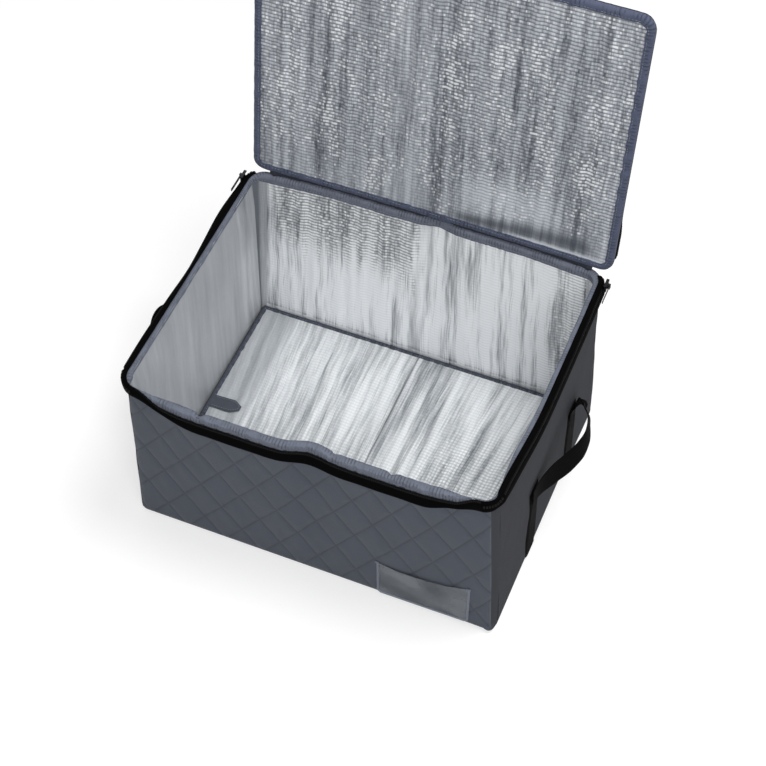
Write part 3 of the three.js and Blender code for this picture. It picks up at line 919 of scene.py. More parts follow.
@dataclass
class OuterCloth:
    """The walls' outside: quilted at the front, plain on the other sides."""

    box: Carcass
    finishes: Wardrobe
    thickness: float = 0.0012
    tuck: float = 0.007
    puff: float = 0.0016
    diamonds: Diamonds = Diamonds()
    rows: int = 150
    seam_station: float = 0.38
    strap_rows: tuple[float, float] = (-0.062, 0.090)
    foot_bump: float = 0.0048
    wrinkles: Ripples = field(default_factory=lambda: Ripples(11, 0.11, 0.16))
    dents: Ripples = field(default_factory=lambda: Ripples(12, 0.035, 0.06))

    def relief(self, t: np.ndarray, z: np.ndarray) -> np.ndarray:
        """Returns how far the cloth stands out of the plain wall, quilting left out.

        Args:
            t: Stations round the box.
            z: Heights.

        Returns:
            Distances in metres.
        """
        t, z = np.broadcast_arrays(t, z)
        across = np.where(t >= 5, self.front_x(t), self.box.run(t))
        edges = window(z, 0.006, 0.016, 0.240, 0.262)
        uneven = (self.wrinkles.at(across, z) * 0.0006 + self.dents.at(across, z) * 0.0002) * edges
        y = self.box.place(t, z, 0 * z)[..., 1]
        on_end = ((t < 1) | ((t > 4) & (t < 5))).astype(float)
        for middle in self.strap_rows:
            uneven = uneven - 0.0022 * bell(y, middle, 0.013) * bell(z, 0.1495, 0.0035) * on_end
        return uneven

    def outside(self, side: str, place: np.ndarray, z: np.ndarray, out: np.ndarray | float) -> np.ndarray:
        """Returns points that stand a distance outside the cloth of a side.

        Args:
            side: right, left or front.
            place: y on an end, x on the front.
            z: Heights.
            out: Distances out of the cloth's face.

        Returns:
            Points, in the arrays' common shape by 3.
        """
        t = self.box.station(side, place, z)
        return self.box.place(t, z, self.rolled(z) - out - self.relief(t, z))

    def rolled(self, z: np.ndarray) -> np.ndarray:
        """Returns how far the cloth is rolled in under the foot, at heights."""
        low = np.clip(1 - z / self.tuck, 0, 1)
        return self.tuck * (1 - np.sqrt(1 - low * low))

    def build(self) -> list[bpy.types.Object]:
        """Returns the pieces."""
        made = []
        for length in LENGTHS:
            heights = np.linspace(0.0006, self.box.height - 0.0006, self.rows)[:, None]
            t, z = np.broadcast_arrays(length.stations()[None, :], heights)
            inset = self.rolled(z)
            across = np.where(t >= 5, self.front_x(t), self.box.run(t))
            front = window(t, 5.62, 5.66, 7.34, 7.38) if "front" in length.name else 0 * t
            near = self.diamonds.near(across, z)
            edges = window(z, 0.004, 0.012, 0.252, 0.266)
            swell = self.puff * (1 - np.exp(-near / 0.0045)) * front * edges
            seam = 0.0009 * (bell(t, 7 + self.seam_station, 0.045) + bell(t, 6 - self.seam_station, 0.045))
            seam = seam * smooth(z, 0.004, 0.012) * (1 - smooth(z, 0.250, 0.262))
            seam = seam + self.foot_bump * bell(t, 7.30, 0.30) * bell(z, 0.0065, 0.0045)
            face = self.box.place(t, z, inset - swell - seam - self.relief(t, z))
            back = self.box.place(t, z, inset + self.thickness)
            quilted = (front[:-1, :-1] > 0.5).astype(int)
            pattern = Pattern().shell(face, back, np.stack([across, z], -1), quilted)
            piece = pattern.sew(f"cloth_{length.name}", [self.finishes["plain_cloth"], self.finishes["quilted_cloth"]])
            length.hang(piece, 0.0)
            for node in NODE_OF.get(length.name, []):
                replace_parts(piece, f"skin_{node}", f"core_{node}")
            made.append(piece)
        return made

    def front_x(self, t: np.ndarray) -> np.ndarray:
        """Returns the cloth's coordinate round the front, which is x on its flat part."""
        return self.box.run(t) - self.box.run(np.array(6.5))


@dataclass
class Lining:
    """The foil inside the walls."""

    box: Carcass
    finishes: Wardrobe
    thickness: float = 0.0007
    foot: float = 0.0034
    hem_top: float = 0.024
    rows: int = 64
    folds: Ripples = field(default_factory=lambda: Ripples(21, 0.022, 0.5))
    crumple: Ripples = field(default_factory=lambda: Ripples(22, 0.012, 0.035))
    ragged: Ripples = field(default_factory=lambda: Ripples(23, 0.014, 0.30))
    blotches: Ripples = field(default_factory=lambda: Ripples(24, 0.006, 0.060))

    def tone(self, side: str, x: np.ndarray, y: np.ndarray, z: np.ndarray) -> tuple[np.ndarray, ...]:
        """Returns the painted light on the film: how light it is painted, how far its cells and glints show and how
        far its painted streaking shows.

        Args:
            side: The length's name.
            x: Places across the box.
            y: Places along it.
            z: Heights.

        Returns:
            Painted lightness, cells and glints, and painted streaking, each from 0 to 1.
        """
        # low: painted shade, darker towards the foot of each wall.
        low = 1 - smooth(z, 0.0, 0.05)
        if side == "back":
            border = z + 0.04 * x + 0.016 * self.ragged.at(x, z)
            upper = smooth(border, 0.135, 0.205)
            left = 1 - smooth(x + 0.004 * self.ragged.at(x, z * 3), -0.022, -0.004)
            middle = 0.004 - 0.05 * (self.box.height - z)
            # Painted shade in a wedge along the back wall's middle crease.
            crease_shade = window(x, middle - 0.016, middle - 0.008, middle + 0.008, middle + 0.013)
            # Painted shade towards the back wall's two corners.
            side_corner_shade = 0.30 * bell(x, -0.238, 0.007) + 0.08 * smooth(x, 0.19, 0.24)
            # Back wall: painted light, brightest a little above the floor, with painted shade in the upper left where
            # ribs and glints show strongest.
            light = 0.84 + 0.06 * bell(z, 0.10, 0.05) - 0.20 * upper * left - 0.26 * crease_shade - side_corner_shade
            ribs = 0.07 + 0.80 * upper * left * smooth(x, -0.236, -0.205) + 0.45 * smooth(x, 0.17, 0.22)
            # Painted highlight in dashes along the hem, and a painted shade line just above it.
            hem_highlight = bell(z, 0.0120, 0.0014) * smooth(self.blotches.at(x * 0.7, 0 * x), -0.5, 0.3)
            light = light - 0.06 * low + 0.5 * hem_highlight - 0.16 * bell(z, 0.0165, 0.0030)
            return light, ribs, 1.0 - 0.55 * crease_shade - 0.3 * upper * left
        # Front wall: painted light, darker towards the foot.
        if side == "front":
            return 0.62 - 0.2 * low, 0.15 + 0 * x, 0.5 + 0 * x
        if side in ("left", "left_back_corner", "front_left_corner", "back_left_corner"):
            # Left walls: painted shade overall, lower than the back wall, with darker blotches low towards the front.
            reach = window(y, -0.186, -0.166, -0.110, -0.050)
            low_blotch = bell(z, 0.012, 0.034) * reach * smooth(self.blotches.at(y, z), -0.5, 0.5)
            # Painted shadow in the fold at the left-back corner.
            corner = bell(y, 0.183, 0.0035) if side == "left_back_corner" else 0 * x
            # lit: a painted pool of light; the line below also paints shade towards the top.
            lit = bell(y, 0.150, 0.014) * smooth(z, 0.02, 0.08) * (1 - smooth(z, 0.14, 0.22))
            light = 0.44 - 0.50 * low_blotch - 0.9 * corner - 0.06 * smooth(z, 0.12, 0.27) + 0.09 * lit
            return light, 0.04 + 0 * x, 0.09 + 0.12 * smooth(y, 0.10, 0.16)
        # Other walls: painted light, darker towards the foot.
        return 0.65 - 0.15 * low + 0 * x, 0.2 + 0 * x, 0.4 + 0 * x

    def build(self) -> list[bpy.types.Object]:
        """Returns the pieces."""
        made = []
        for length in LENGTHS:
            heights = np.linspace(self.hem_top, self.box.height - 0.001, self.rows)
            heights = np.concatenate([np.linspace(self.foot, self.hem_top, 17)[:-1], heights])
            t, z = np.broadcast_arrays(length.stations()[None, :], heights[:, None])
            flat = self.box.place(t, z, self.box.wall)
            across = self.box.run(t)
            light, ribs, streaks = self.tone(length.name, flat[..., 0], flat[..., 1], z)
            calm = window(z, 0.0, 0.03, 0.262, 0.274)
            soft = 0.35 if "left" in length.name and length.name != "back" else 1.0
            rise = (self.folds.at(across, z) * 0.0009 * soft + self.crumple.at(across, z) * 0.00025) * calm
            if length.name == "back":
                rise = rise - 0.0035 * bell(flat[..., 0], 0.008, 0.008 + 0.03 * z) * smooth(z, 0.02, 0.12) * calm
            ends = length.inner(t, 0.02)
            rise = rise * (ends if len(length.name) < 6 else 0.0)
            inset = self.box.wall - self.box.drawn(t) * smooth(z, 0.225, 0.278) + rise
            face = self.box.place(t, z, inset)
            back = self.box.place(t, z, inset - self.thickness)
            marks = {"tone": light, "ribs": ribs, "streaks": streaks}
            pattern = Pattern().shell(back, face, np.stack([across, z], -1), 0, marks)
            piece = pattern.sew(f"lining_{length.name}", [self.finishes["foil_wall"]])
            length.hang(piece, self.box.wall)
            for node in NODE_OF.get(length.name, []):
                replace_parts(piece, f"foil_{node}")
            made.append(piece)
        return made


@dataclass
class RimBinding:
    """Grey binding folded over the rim and sewn through."""

    box: Carcass
    finishes: Wardrobe
    reach: float = 0.010
    slimming: float = 0.14
    pucker_depth: float = 0.0006
    pucker: Ripples = field(default_factory=lambda: Ripples(31, 0.011, 1.0, 10))
    slump: Ripples = field(default_factory=lambda: Ripples(32, 0.06, 1.0, 8))

    def section(self) -> np.ndarray:
        """Returns the folded section as insets and heights over the rim."""
        return np.array([
            (-0.0003, -self.reach), (-0.0016, -self.reach), (-0.0021, -0.0060), (-0.0019, -0.0018),
            (-0.0010, 0.0006), (0.0012, 0.0017), (0.0042, 0.0021), (0.0070, 0.0017), (0.0090, 0.0004),
            (0.0098, -0.0022), (0.0100, -0.0060), (0.0095, -self.reach), (0.0083, -self.reach),
            (0.0083, -0.0010), (0.0040, 0.0004), (-0.0003, -0.0010),
        ])

    def build(self) -> list[bpy.types.Object]:
        """Returns the pieces."""
        made = []
        section = self.section()
        for length in LENGTHS:
            many = max(9, int(length.columns * (1.0 if length.columns > 20 else 1.2)))
            t = np.linspace(length.start, length.end, many)[:, None]
            run = self.box.run(t)
            front = 1.0 if length.name == "front" else 0.45
            ends = length.inner(t, 0.03) if length.columns > 20 else 0 * t
            gather = self.pucker.at(run, 0 * run) * ends * front
            sag = self.slump.at(run, 0 * run) * ends
            deep, rise = section[None, :, 0], section[None, :, 1]
            leg = np.clip(-rise / self.reach, 0, 1)
            slim = window(t, 3.0, 4.0, 5.2, 6.0)
            short = np.where(deep > 0.008, np.maximum(rise, -0.0040) - rise, 0.0) * slim
            puckered = gather * self.pucker_depth * (1 - leg * 0.3) * np.sign(deep - 0.004)
            inset = deep * (1 - self.slimming * slim * (deep > 0.003)) - puckered
            height = self.box.height + rise + short + gather * self.pucker_depth + sag * 0.0004
            pull = self.box.drawn(t)
            inner = smooth(deep, 0.002, 0.009)
            inset, height = inset - pull * inner, height - pull * 0.35
            rings = self.box.place(t + 0 * inset, height, inset)
            pattern = Pattern().loft(rings, joined(run, distances(section)[None, :]), 0)
            for row, side in ((2, 1), (10, -1)):
                line = self.box.place(t[:, 0], height[:, row], inset[:, row])
                inner = self.box.place(t[:, 0], height[:, row], inset[:, row] + 0.002)
                pattern.beads(line, (line - inner) * side, 1, lift=0.00025)
            piece = pattern.sew(f"rim_{length.name}_binding", [self.finishes["rim_binding"], self.finishes["thread"]])
            length.hang(piece, 0.004)
            for node in NODE_OF.get(length.name, []):
                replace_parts(piece, f"rim_{node}")
            made.append(piece)
        return made


@dataclass
class RimZip:
    """Black tape with its teeth, under the rim at the front and standing at the corners and ends."""

    box: Carcass
    finishes: Wardrobe
    thickness: float = 0.0012
    height: float = 0.0220
    tooth: float = 0.0028
    profiles: tuple[tuple[float, ...], ...] = (
        (-0.0032, -0.0165, -0.0048, -0.0050, -0.0012, 0.0030),
        (-0.0048, -0.0092, -0.0076, 0.0010, 0.0006, 0.0028),
        (-0.0078, -0.0262, -0.0056, -0.0170, -0.0034, -0.0079),
        (-0.0066, -0.0165, -0.0070, 0.0018, 0.0030, 0.0034),
        (-0.0066, -0.0150, -0.0110, 0.0028, 0.0012, 0.0024),
    )
    wave: Ripples = field(default_factory=lambda: Ripples(41, 0.07, 1.0, 8))

    def edge_lines(self, t: np.ndarray) -> np.ndarray:
        """Returns insets and heights over the rim of the tape's edges and of the point its section bends to.

        Args:
            t: Stations round the box.

        Returns:
            Six rows: inset and height of the lower edge, of that point and of the upper edge.
        """
        x, y = self.box.place(t, self.box.height + 0 * t, 0 * t)[..., :2].T
        on_front = ((t > 6.0) & (t < 7.0)).astype(float)
        onward = np.where(t < 2.0, t + 8.0, t)
        right = on_front * smooth(x, 0.196, 0.224) + (onward >= 7.0) * (1 - smooth(onward, 7.60, 8.05))
        left = on_front * smooth(-x, 0.188, 0.232) + (t <= 6.0) * (t > 3.0) * smooth(t, 4.90, 5.55)
        front = on_front - on_front * (right + left)
        end = (x > 0) * (1 - on_front) * (1 - right)
        shares = np.stack([right, left, front, end, 1 - right - left - front - end])
        uneven = self.wave.at(self.box.run(t), 0 * t) * 0.0006 * front
        low_in, low_z, mid_in, mid_z, top_in, top_z = np.tensordot(np.array(self.profiles).T, shares, 1)
        pinch = front * (0.0125 * (1 - smooth(x, -0.200, -0.135)) + 0.0095 * smooth(x, 0.160, 0.196))
        twist = bell((onward - 8.0) * lerp(0.034, 0.356, onward > 8.0), 0.002, 0.013)
        swing = 0.0046 * bell(y, 0.112, 0.046) - 0.0032 * bell(y, 0.0, 0.040) + 0.0014 * bell(y, -0.13, 0.05)
        swing = (t > 4.0) * (t < 5.0) * swing
        low_in, mid_in = low_in - swing, mid_in - swing * 1.3
        low_z, mid_z = low_z + pinch - uneven + 0.0040 * twist, mid_z + pinch * 0.5 - 0.0020 * twist
        top_z = top_z + uneven - 0.0012 * twist
        return np.stack([low_in, low_z, mid_in, mid_z, top_in, top_z])

    def section(self, edge: np.ndarray, s: np.ndarray | float) -> tuple[np.ndarray, np.ndarray]:
        """Returns insets and heights of the tape's middle at shares of its way up."""
        low, mid, top = (1 - s) ** 2, 2 * s * (1 - s), s ** 2
        rise = low * edge[1] + mid * edge[3] + top * edge[5]
        return low * edge[0] + mid * edge[2] + top * edge[4], self.box.height + rise

    def build(self) -> list[bpy.types.Object]:
        """Returns the pieces."""
        made = []
        sides = (
            ("right", 0.0, 1.0, 90), ("back_right_corner", 1.0, 1.45, 12), ("left_back_corner", 3.55, 4.0, 12),
            ("left", 4.0, 5.0, 90), ("front_left_corner", 5.0, 6.0, 28), ("front", 6.0, 7.0, 220),
            ("front_right_corner", 7.0, 8.0, 28),
        )
        carried = {length.name: length for length in LENGTHS}
        nodes = {"right": ["zip_right"], "left": ["zip_left"], "front": ["zip_front_right", "zip_front_left"]}
        for name, start, end, many in sides:
            t = np.linspace(start, end, many)
            edge = self.edge_lines(t)
            s = np.array([0.0, 0.03, 0.15, 0.3, 0.45, 0.6, 0.75, 0.88, 0.98, 1.0])
            thick = np.array([0.1, *[0.5] * 8, 0.1]) * self.thickness
            row_in, row_z = self.section(edge[..., None], s)
            slope_in, slope_z = np.gradient(row_in, axis=1), np.gradient(row_z, axis=1)
            size = np.hypot(slope_in, slope_z)
            out_in, out_z = -slope_z / size * thick, slope_in / size * thick
            insets = np.concatenate([row_in + out_in, (row_in - out_in)[:, ::-1]], 1)
            heights = np.concatenate([row_z + out_z, (row_z - out_z)[:, ::-1]], 1)
            rings = self.box.place(t[:, None] + 0 * insets, heights, insets)
            girth = np.concatenate([s, s[::-1]]) * self.height
            places = joined(self.box.run(t)[:, None], girth[None, :])
            pattern = Pattern().loft(rings[:, ::-1], places[:, ::-1], 0)
            inset, top = self.section(edge, lerp(0.60, 0.98, (t > 6.0) & (t < 7.0)))
            self.add_teeth(pattern, t, inset, top)
            piece = pattern.sew(f"zip_{name}_tape", [self.finishes["zip_tape"], self.finishes["teeth"]])
            carried[name].hang(piece, 0.0)
            if name in nodes:
                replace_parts(piece, *nodes[name])
            made.append(piece)
        return made

    def add_teeth(self, pattern: Pattern, t: np.ndarray, inset: np.ndarray, top: np.ndarray) -> None:
        """Adds the row of teeth along the tape's upper edge."""
        run = self.box.run(t)
        for spot in np.arange(run[0] + self.tooth, run[-1] - self.tooth / 2, self.tooth):
            mid = np.interp(spot, run, t)
            half = np.interp(spot + 0.0009, run, t) - mid
            ins, z = np.interp(spot, run, inset), np.interp(spot, run, top)
            grid_t = mid + half * np.array([-1, -1, 1, 1])[None, :]
            rise = np.array([-0.0030, -0.0022, -0.0004, 0.0004])[:, None]
            wide = np.array([0.5, 1.0, 1.0, 0.5])[:, None]
            out = np.array([0.0, 1.0, 1.0, 0.0])[None, :] * -0.0022 * wide - 0.0001
            points = self.box.place(grid_t + 0 * rise, z + rise + 0 * grid_t, ins + out)
            pattern.loft(points, joined(spot + 0 * grid_t, rise), 1)


@dataclass(frozen=True)
class LidPlane:
    """Where the open lid stands: out from its hinge line, leaning back."""

    hinge_y: float = 0.197
    hinge_z: float = 0.285
    lean: float = math.radians(8)
    shift: float = 0.004
    half_width: float = 0.2565
    near: float = 0.007
    far: float = 0.397
    near_radius: float = 0.017
    far_radius: float = 0.020
    bow: float = 0.0045

    def place(self, x: np.ndarray, u: np.ndarray, t: np.ndarray) -> np.ndarray:
        """Returns points of the lid.

        Args:
            x: Places across it.
            u: Distances out from the hinge line.
            t: Distances in front of the hinge plane, towards the box.

        Returns:
            Points, in the arrays' common shape by 3.
        """
        x, u, t = np.broadcast_arrays(x, u, t)
        rest = self.bow * (1 - np.clip(x / 0.25, -1, 1) ** 2) * np.exp(-np.maximum(u, 0) / 0.07)
        t = t - rest
        y = self.hinge_y + u * math.sin(self.lean) - t * math.cos(self.lean)
        z = self.hinge_z + u * math.cos(self.lean) + t * math.sin(self.lean)
        return np.stack([x + self.shift, y, z], -1)

    def half_at(self, u: np.ndarray, inset: float = 0.0) -> np.ndarray:
        """Returns half the lid's width at distances from the hinge, drawn in at its round corners."""
        near, far = u - self.near - inset, self.far - inset - u
        cut = np.zeros_like(u)
        for gap, radius in ((near, self.near_radius), (far, self.far_radius)):
            short = np.clip(1 - gap / radius, 0, 1)
            cut = np.maximum(cut, radius * (1 - np.sqrt(np.maximum(1 - short * short, 0))))
        return self.half_width - inset - cut

    def outline(self, inset: float, many: int) -> tuple[np.ndarray, np.ndarray, np.ndarray, np.ndarray]:
        """Returns the lid's outline, round from the middle of its near edge.

        Args:
            inset: Distance in from the edge.
            many: Number of points.

        Returns:
            x, u, and the outward direction in x and in u.
        """
        w, a, b = self.half_width - inset, self.near + inset, self.far - inset
        rn, rf = self.near_radius - inset, self.far_radius - inset
        fine = []
        for cx, cu, r, begin in (
            (w - rn, a + rn, rn, -90), (w - rf, b - rf, rf, 0), (-w + rf, b - rf, rf, 90), (-w + rn, a + rn, rn, 180),
        ):
            turn = np.radians(np.linspace(begin, begin + 90, 25))
            fine.append(np.stack([cx + r * np.cos(turn), cu + r * np.sin(turn), np.cos(turn), np.sin(turn)], 1))
        line = np.concatenate([[(0, a, 0, -1)], *fine, [(0, a, 0, -1)]])
        run = distances(line[:, :2])
        return tuple(read_off(np.linspace(0, run[-1], many, endpoint=False), run, line))


@dataclass
class Lid:
    """The lid: foil face, cloth back, binding all round, its own zip and the seam that hinges it."""

    plane: LidPlane
    box: Carcass
    finishes: Wardrobe
    front: float = -0.0012
    panel: float = 0.008
    fold: float = 0.012
    seam_in: float = 0.0022
    reach: float = 0.0100
    stitch_in: float = 0.0072
    tooth: float = 0.0028
    columns: int = 200
    rows: int = 150
    folds: Ripples = field(default_factory=lambda: Ripples(51, 0.020, 0.45))
    crumple: Ripples = field(default_factory=lambda: Ripples(52, 0.012, 0.03))
    pucker: Ripples = field(default_factory=lambda: Ripples(53, 0.016, 1.0, 10))

    def bend(self, piece: bpy.types.Object) -> bpy.types.Object:
        """Bakes a piece's place into its mesh; it does not bend at the lid's crease."""
        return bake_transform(piece)

    def grid(self, inset: float) -> tuple[np.ndarray, np.ndarray]:
        """Returns a grid of x and u that fills the outline."""
        u = np.linspace(self.plane.near + inset, self.plane.far - inset, self.rows)
        u = lerp(u[0], u[-1], 0.5 - 0.5 * np.cos(np.linspace(0, math.pi, self.rows))) * 0.35 + u * 0.65
        share = np.linspace(-1, 1, self.columns)
        half = self.plane.half_at(u, inset)
        return share[None, :] * half[:, None], u[:, None] + 0 * share[None, :]

    def calm(self, x: np.ndarray, u: np.ndarray) -> np.ndarray:
        """Returns 1 on the lid's face and 0 near its edge, where the binding holds it flat."""
        edge = np.minimum(np.minimum(u - self.plane.near, self.plane.far - u), self.plane.half_width - np.abs(x))
        return smooth(edge, 0.008, 0.03)

    def build(self) -> list[bpy.types.Object]:
        """Returns the pieces."""
        return [self.foil(), self.cloth(), self.binding(), self.zip_tape(), self.piping()]

    def foil(self) -> bpy.types.Object:
        """Returns the foil face."""
        x, u = self.grid(self.seam_in)
        calm = self.calm(x, u)
        rise = (self.folds.at(x, u) * 0.0009 + self.crumple.at(x, u) * 0.0003) * calm
        rise = rise - 0.003 * bell(x, 0.004, 0.010) * calm
        face = self.plane.place(x, u, self.front + rise * 0.8)
        back = self.plane.place(x, u, self.front + rise * 0.8 - 0.0007)
        # Painted light on the lid's foil: soft is a painted shade band low on the lid, pale a painted band of light
        # above it, the hem a painted highlight, and the middle crease gets painted shade.
        onward = smooth(x, 0.02, 0.18)
        soft = bell(u, 0.023 + 0.011 * onward, 0.008 + 0.006 * onward) * smooth(x, 0.01, 0.06)
        soft = soft * (1 - smooth(x, 0.205, 0.24))
        pale = bell(u, 0.072, 0.030) * smooth(x, 0.02, 0.06) * (1 - smooth(x, 0.15, 0.20))
        hem_highlight = bell(u, 0.0195, 0.0022) * smooth(x, 0.10, 0.14)
        upper = smooth(u, 0.03, 0.09)
        light = 0.56 - 0.40 * soft + 0.36 * pale - 0.10 * bell(x, 0.006, 0.012) + 0.7 * hem_highlight
        ribs = 0.42 + 0.28 * upper - 0.25 * bell(x, -0.04, 0.03) - 0.4 * soft - 0.2 * pale
        marks = {"tone": light, "ribs": np.clip(ribs, 0.05, 1), "streaks": 0.46 - 0.26 * np.clip(soft, 0, 1)}
        pattern = Pattern().shell(face, back, np.stack([x, u], -1), 0, marks)
        piece = self.bend(pattern.sew("lid_lining", [self.finishes["foil_lid"]]))
        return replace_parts(piece, "lid_foil_right", "lid_foil_left")

    def cloth(self) -> bpy.types.Object:
        """Returns the cloth back, with a soft crease at the middle."""
        x, u = self.grid(self.seam_in)
        calm = self.calm(x, u)
        swell = (0.0012 + self.folds.at(x * 0.3, u) * 0.0006) * calm - 0.0016 * bell(x, 0.0, 0.008) * calm
        t = self.front - self.panel
        face = self.plane.place(x, u, t - swell)
        back = self.plane.place(x, u, t + 0.0012)
        pattern = Pattern().shell(back, face, np.stack([x, u], -1))
        piece = self.bend(pattern.sew("lid_cloth", [self.finishes["plain_cloth"]]))
        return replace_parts(piece, "lid_skin_right", "lid_skin_left", "lid_core_right", "lid_core_left")

    def binding(self) -> bpy.types.Object:
        """Returns the binding sewn round the edge, over both faces."""
        line = self.plane.outline(0.0, 520)
        x, u, out_x, out_u = line
        run = np.linspace(0, 2 * (self.plane.far + self.plane.half_width * 2), len(x))
        front, back, reach = self.front, self.front - self.panel, self.reach
        section = np.array([
            (reach, front + 0.0003), (reach, front + 0.0014), (0.006, front + 0.0019), (0.0022, front + 0.0016),
            (0.0002, front + 0.0002), (-0.0007, front - 0.0022), (-0.0007, back + 0.0022),
            (0.0002, back - 0.0002), (0.0022, back - 0.0016), (0.006, back - 0.0019), (reach, back - 0.0014),
            (reach, back - 0.0003), (0.0016, back - 0.0001), (0.0010, (front + back) / 2), (0.0016, front + 0.0001),
        ])
        gather = self.pucker.at(run, 0 * run)[:, None]
        near = (u < 0.02)[:, None]
        shift = gather * 0.00045 * (1 + near * 0.6)
        inset = section[None, :, 0] + shift * (section[None, :, 0] > 0.004)
        t = section[None, :, 1] + gather * 0.0003 * np.sign(section[None, :, 1] - (front + back) / 2)
        rings = self.plane.place(*inward(line, inset), t)
        places = joined(run[:, None], distances(section)[None, :])
        pattern = Pattern().loft(rings[:, ::-1], places[:, ::-1], 0, closed=True)
        for depth, side in ((front + 0.0017, 1), (back - 0.0017, -1)):
            at = (x - out_x * self.stitch_in, u - out_u * self.stitch_in)
            seam, ahead = self.plane.place(*at, depth), self.plane.place(*at, depth + 0.01 * side)
            pattern.beads(seam, ahead - seam, 1, lift=0.00025)
        self.flange(pattern)
        piece = self.bend(pattern.sew("lid_edge_binding", [self.finishes["lid_binding"], self.finishes["thread"]]))
        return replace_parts(piece, "lid_binding_right", "lid_binding_left")

    def flange(self, pattern: Pattern) -> None:
        """Adds the strip of cloth that runs down from the lid's near edge to the rim."""
        x = np.linspace(-0.232, 0.228, 160)[None, :]
        u = np.linspace(-0.0012, 0.0095, 7)[:, None]
        middle = self.front - 0.0040 - 0.0006 * np.sin(x * 90) + 0 * u
        face = self.plane.place(x + 0 * u, u + 0 * x, middle + 0.0008)
        back = self.plane.place(x + 0 * u, u + 0 * x, middle - 0.0008)
        pattern.shell(face, back, joined(x, u))

    def zip_tape(self) -> bpy.types.Object:
        """Returns the lid's half of the zip, round its two sides and far edge."""
        line = np.array(self.plane.outline(0.0, 900))
        line = line[:, line[1] > 0.024][:, ::3]
        x, u = line[:2]
        run = np.concatenate([[0], np.cumsum(np.hypot(np.diff(x), np.diff(u)))])
        free = (x > 0) * (1 - smooth(u, 0.060, 0.130))
        root_t, root_in = self.front - self.panel + 0.0030, -0.0002
        tip_t = self.front - self.panel - lerp(0.0022, 0.0050, free)
        tip_in = lerp(0.0052, -0.0012, free)
        share = np.array([0.0, 0.15, 0.40, 0.70, 1.0])
        belly = np.array([0.0, 0.7, 1.0, 0.6, 0.0]) * 0.0008
        depth = lerp(root_t, tip_t[:, None], share[None, :])
        inset = lerp(root_in, tip_in[:, None], share[None, :] ** 1.5) - belly[None, :]
        depths = np.concatenate([depth, depth[:, ::-1] - 0.0003], 1)
        insets = np.concatenate([inset - 0.0005, inset[:, ::-1] + 0.0005], 1)
        pattern = Pattern().loft(self.plane.place(*inward(line, insets), depths), joined(run[:, None], depths), 0)
        for spot in np.arange(0.002, run[-1] - 0.002, self.tooth):
            px, pu, ox, ou, deep, inner = (np.interp(spot, run, k) for k in (*line, tip_t, tip_in))
            ax, au = -ou, ox
            grid = np.array([(-0.0009, -0.0009), (-0.0009, 0.0009), (0.0009, 0.0009), (0.0009, -0.0009)])
            levels = deep + np.array([0.0010, 0.0002, -0.0010])[:, None]
            wide = np.array([0.6, 1.0, 0.8])[:, None]
            points = self.plane.place(
                px + ax * grid[None, :, 0] * wide + ox * (grid[None, :, 1] - inner),
                pu + au * grid[None, :, 0] * wide + ou * (grid[None, :, 1] - inner), levels + 0 * wide,
            )
            pattern.loft(points[::-1], np.zeros((3, 4, 2)) + spot, 1)
        piece = self.bend(pattern.sew("lid_zip_tape", [self.finishes["zip_tape"], self.finishes["teeth"]]))
        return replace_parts(piece, "lid_zip_right", "lid_zip_left")

    def piping(self) -> bpy.types.Object:
        """Returns the rolled seam along the hinge line, with a knot at each end, in cloth darkened as painted shade.
        """
        x = np.linspace(0.234, -0.228, 240)
        turn = np.linspace(0, TAU, 12, endpoint=False)
        knots = bell(x, 0.229, 0.004) + bell(x, -0.222, 0.004) + 0.7 * bell(x, 0.012, 0.005)
        bow = self.box.back_bow(x) * 0.75
        radius = (0.0034 + 0.0022 * knots)[:, None]
        wobble = self.pucker.at(x, 0 * x)[:, None] * 0.0003
        y = 0.2004 + bow[:, None] + (radius + wobble) * np.cos(turn)[None, :]
        z = 0.2884 + (radius + wobble) * np.sin(turn)[None, :]
        pattern = Pattern().loft(joined(x[:, None], y, z), joined(x[:, None], turn[None, :] * 0.004), 0)
        piece = pattern.sew("hinge_seam", [self.finishes["seam_cloth"]])
        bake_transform(piece)
        return piece


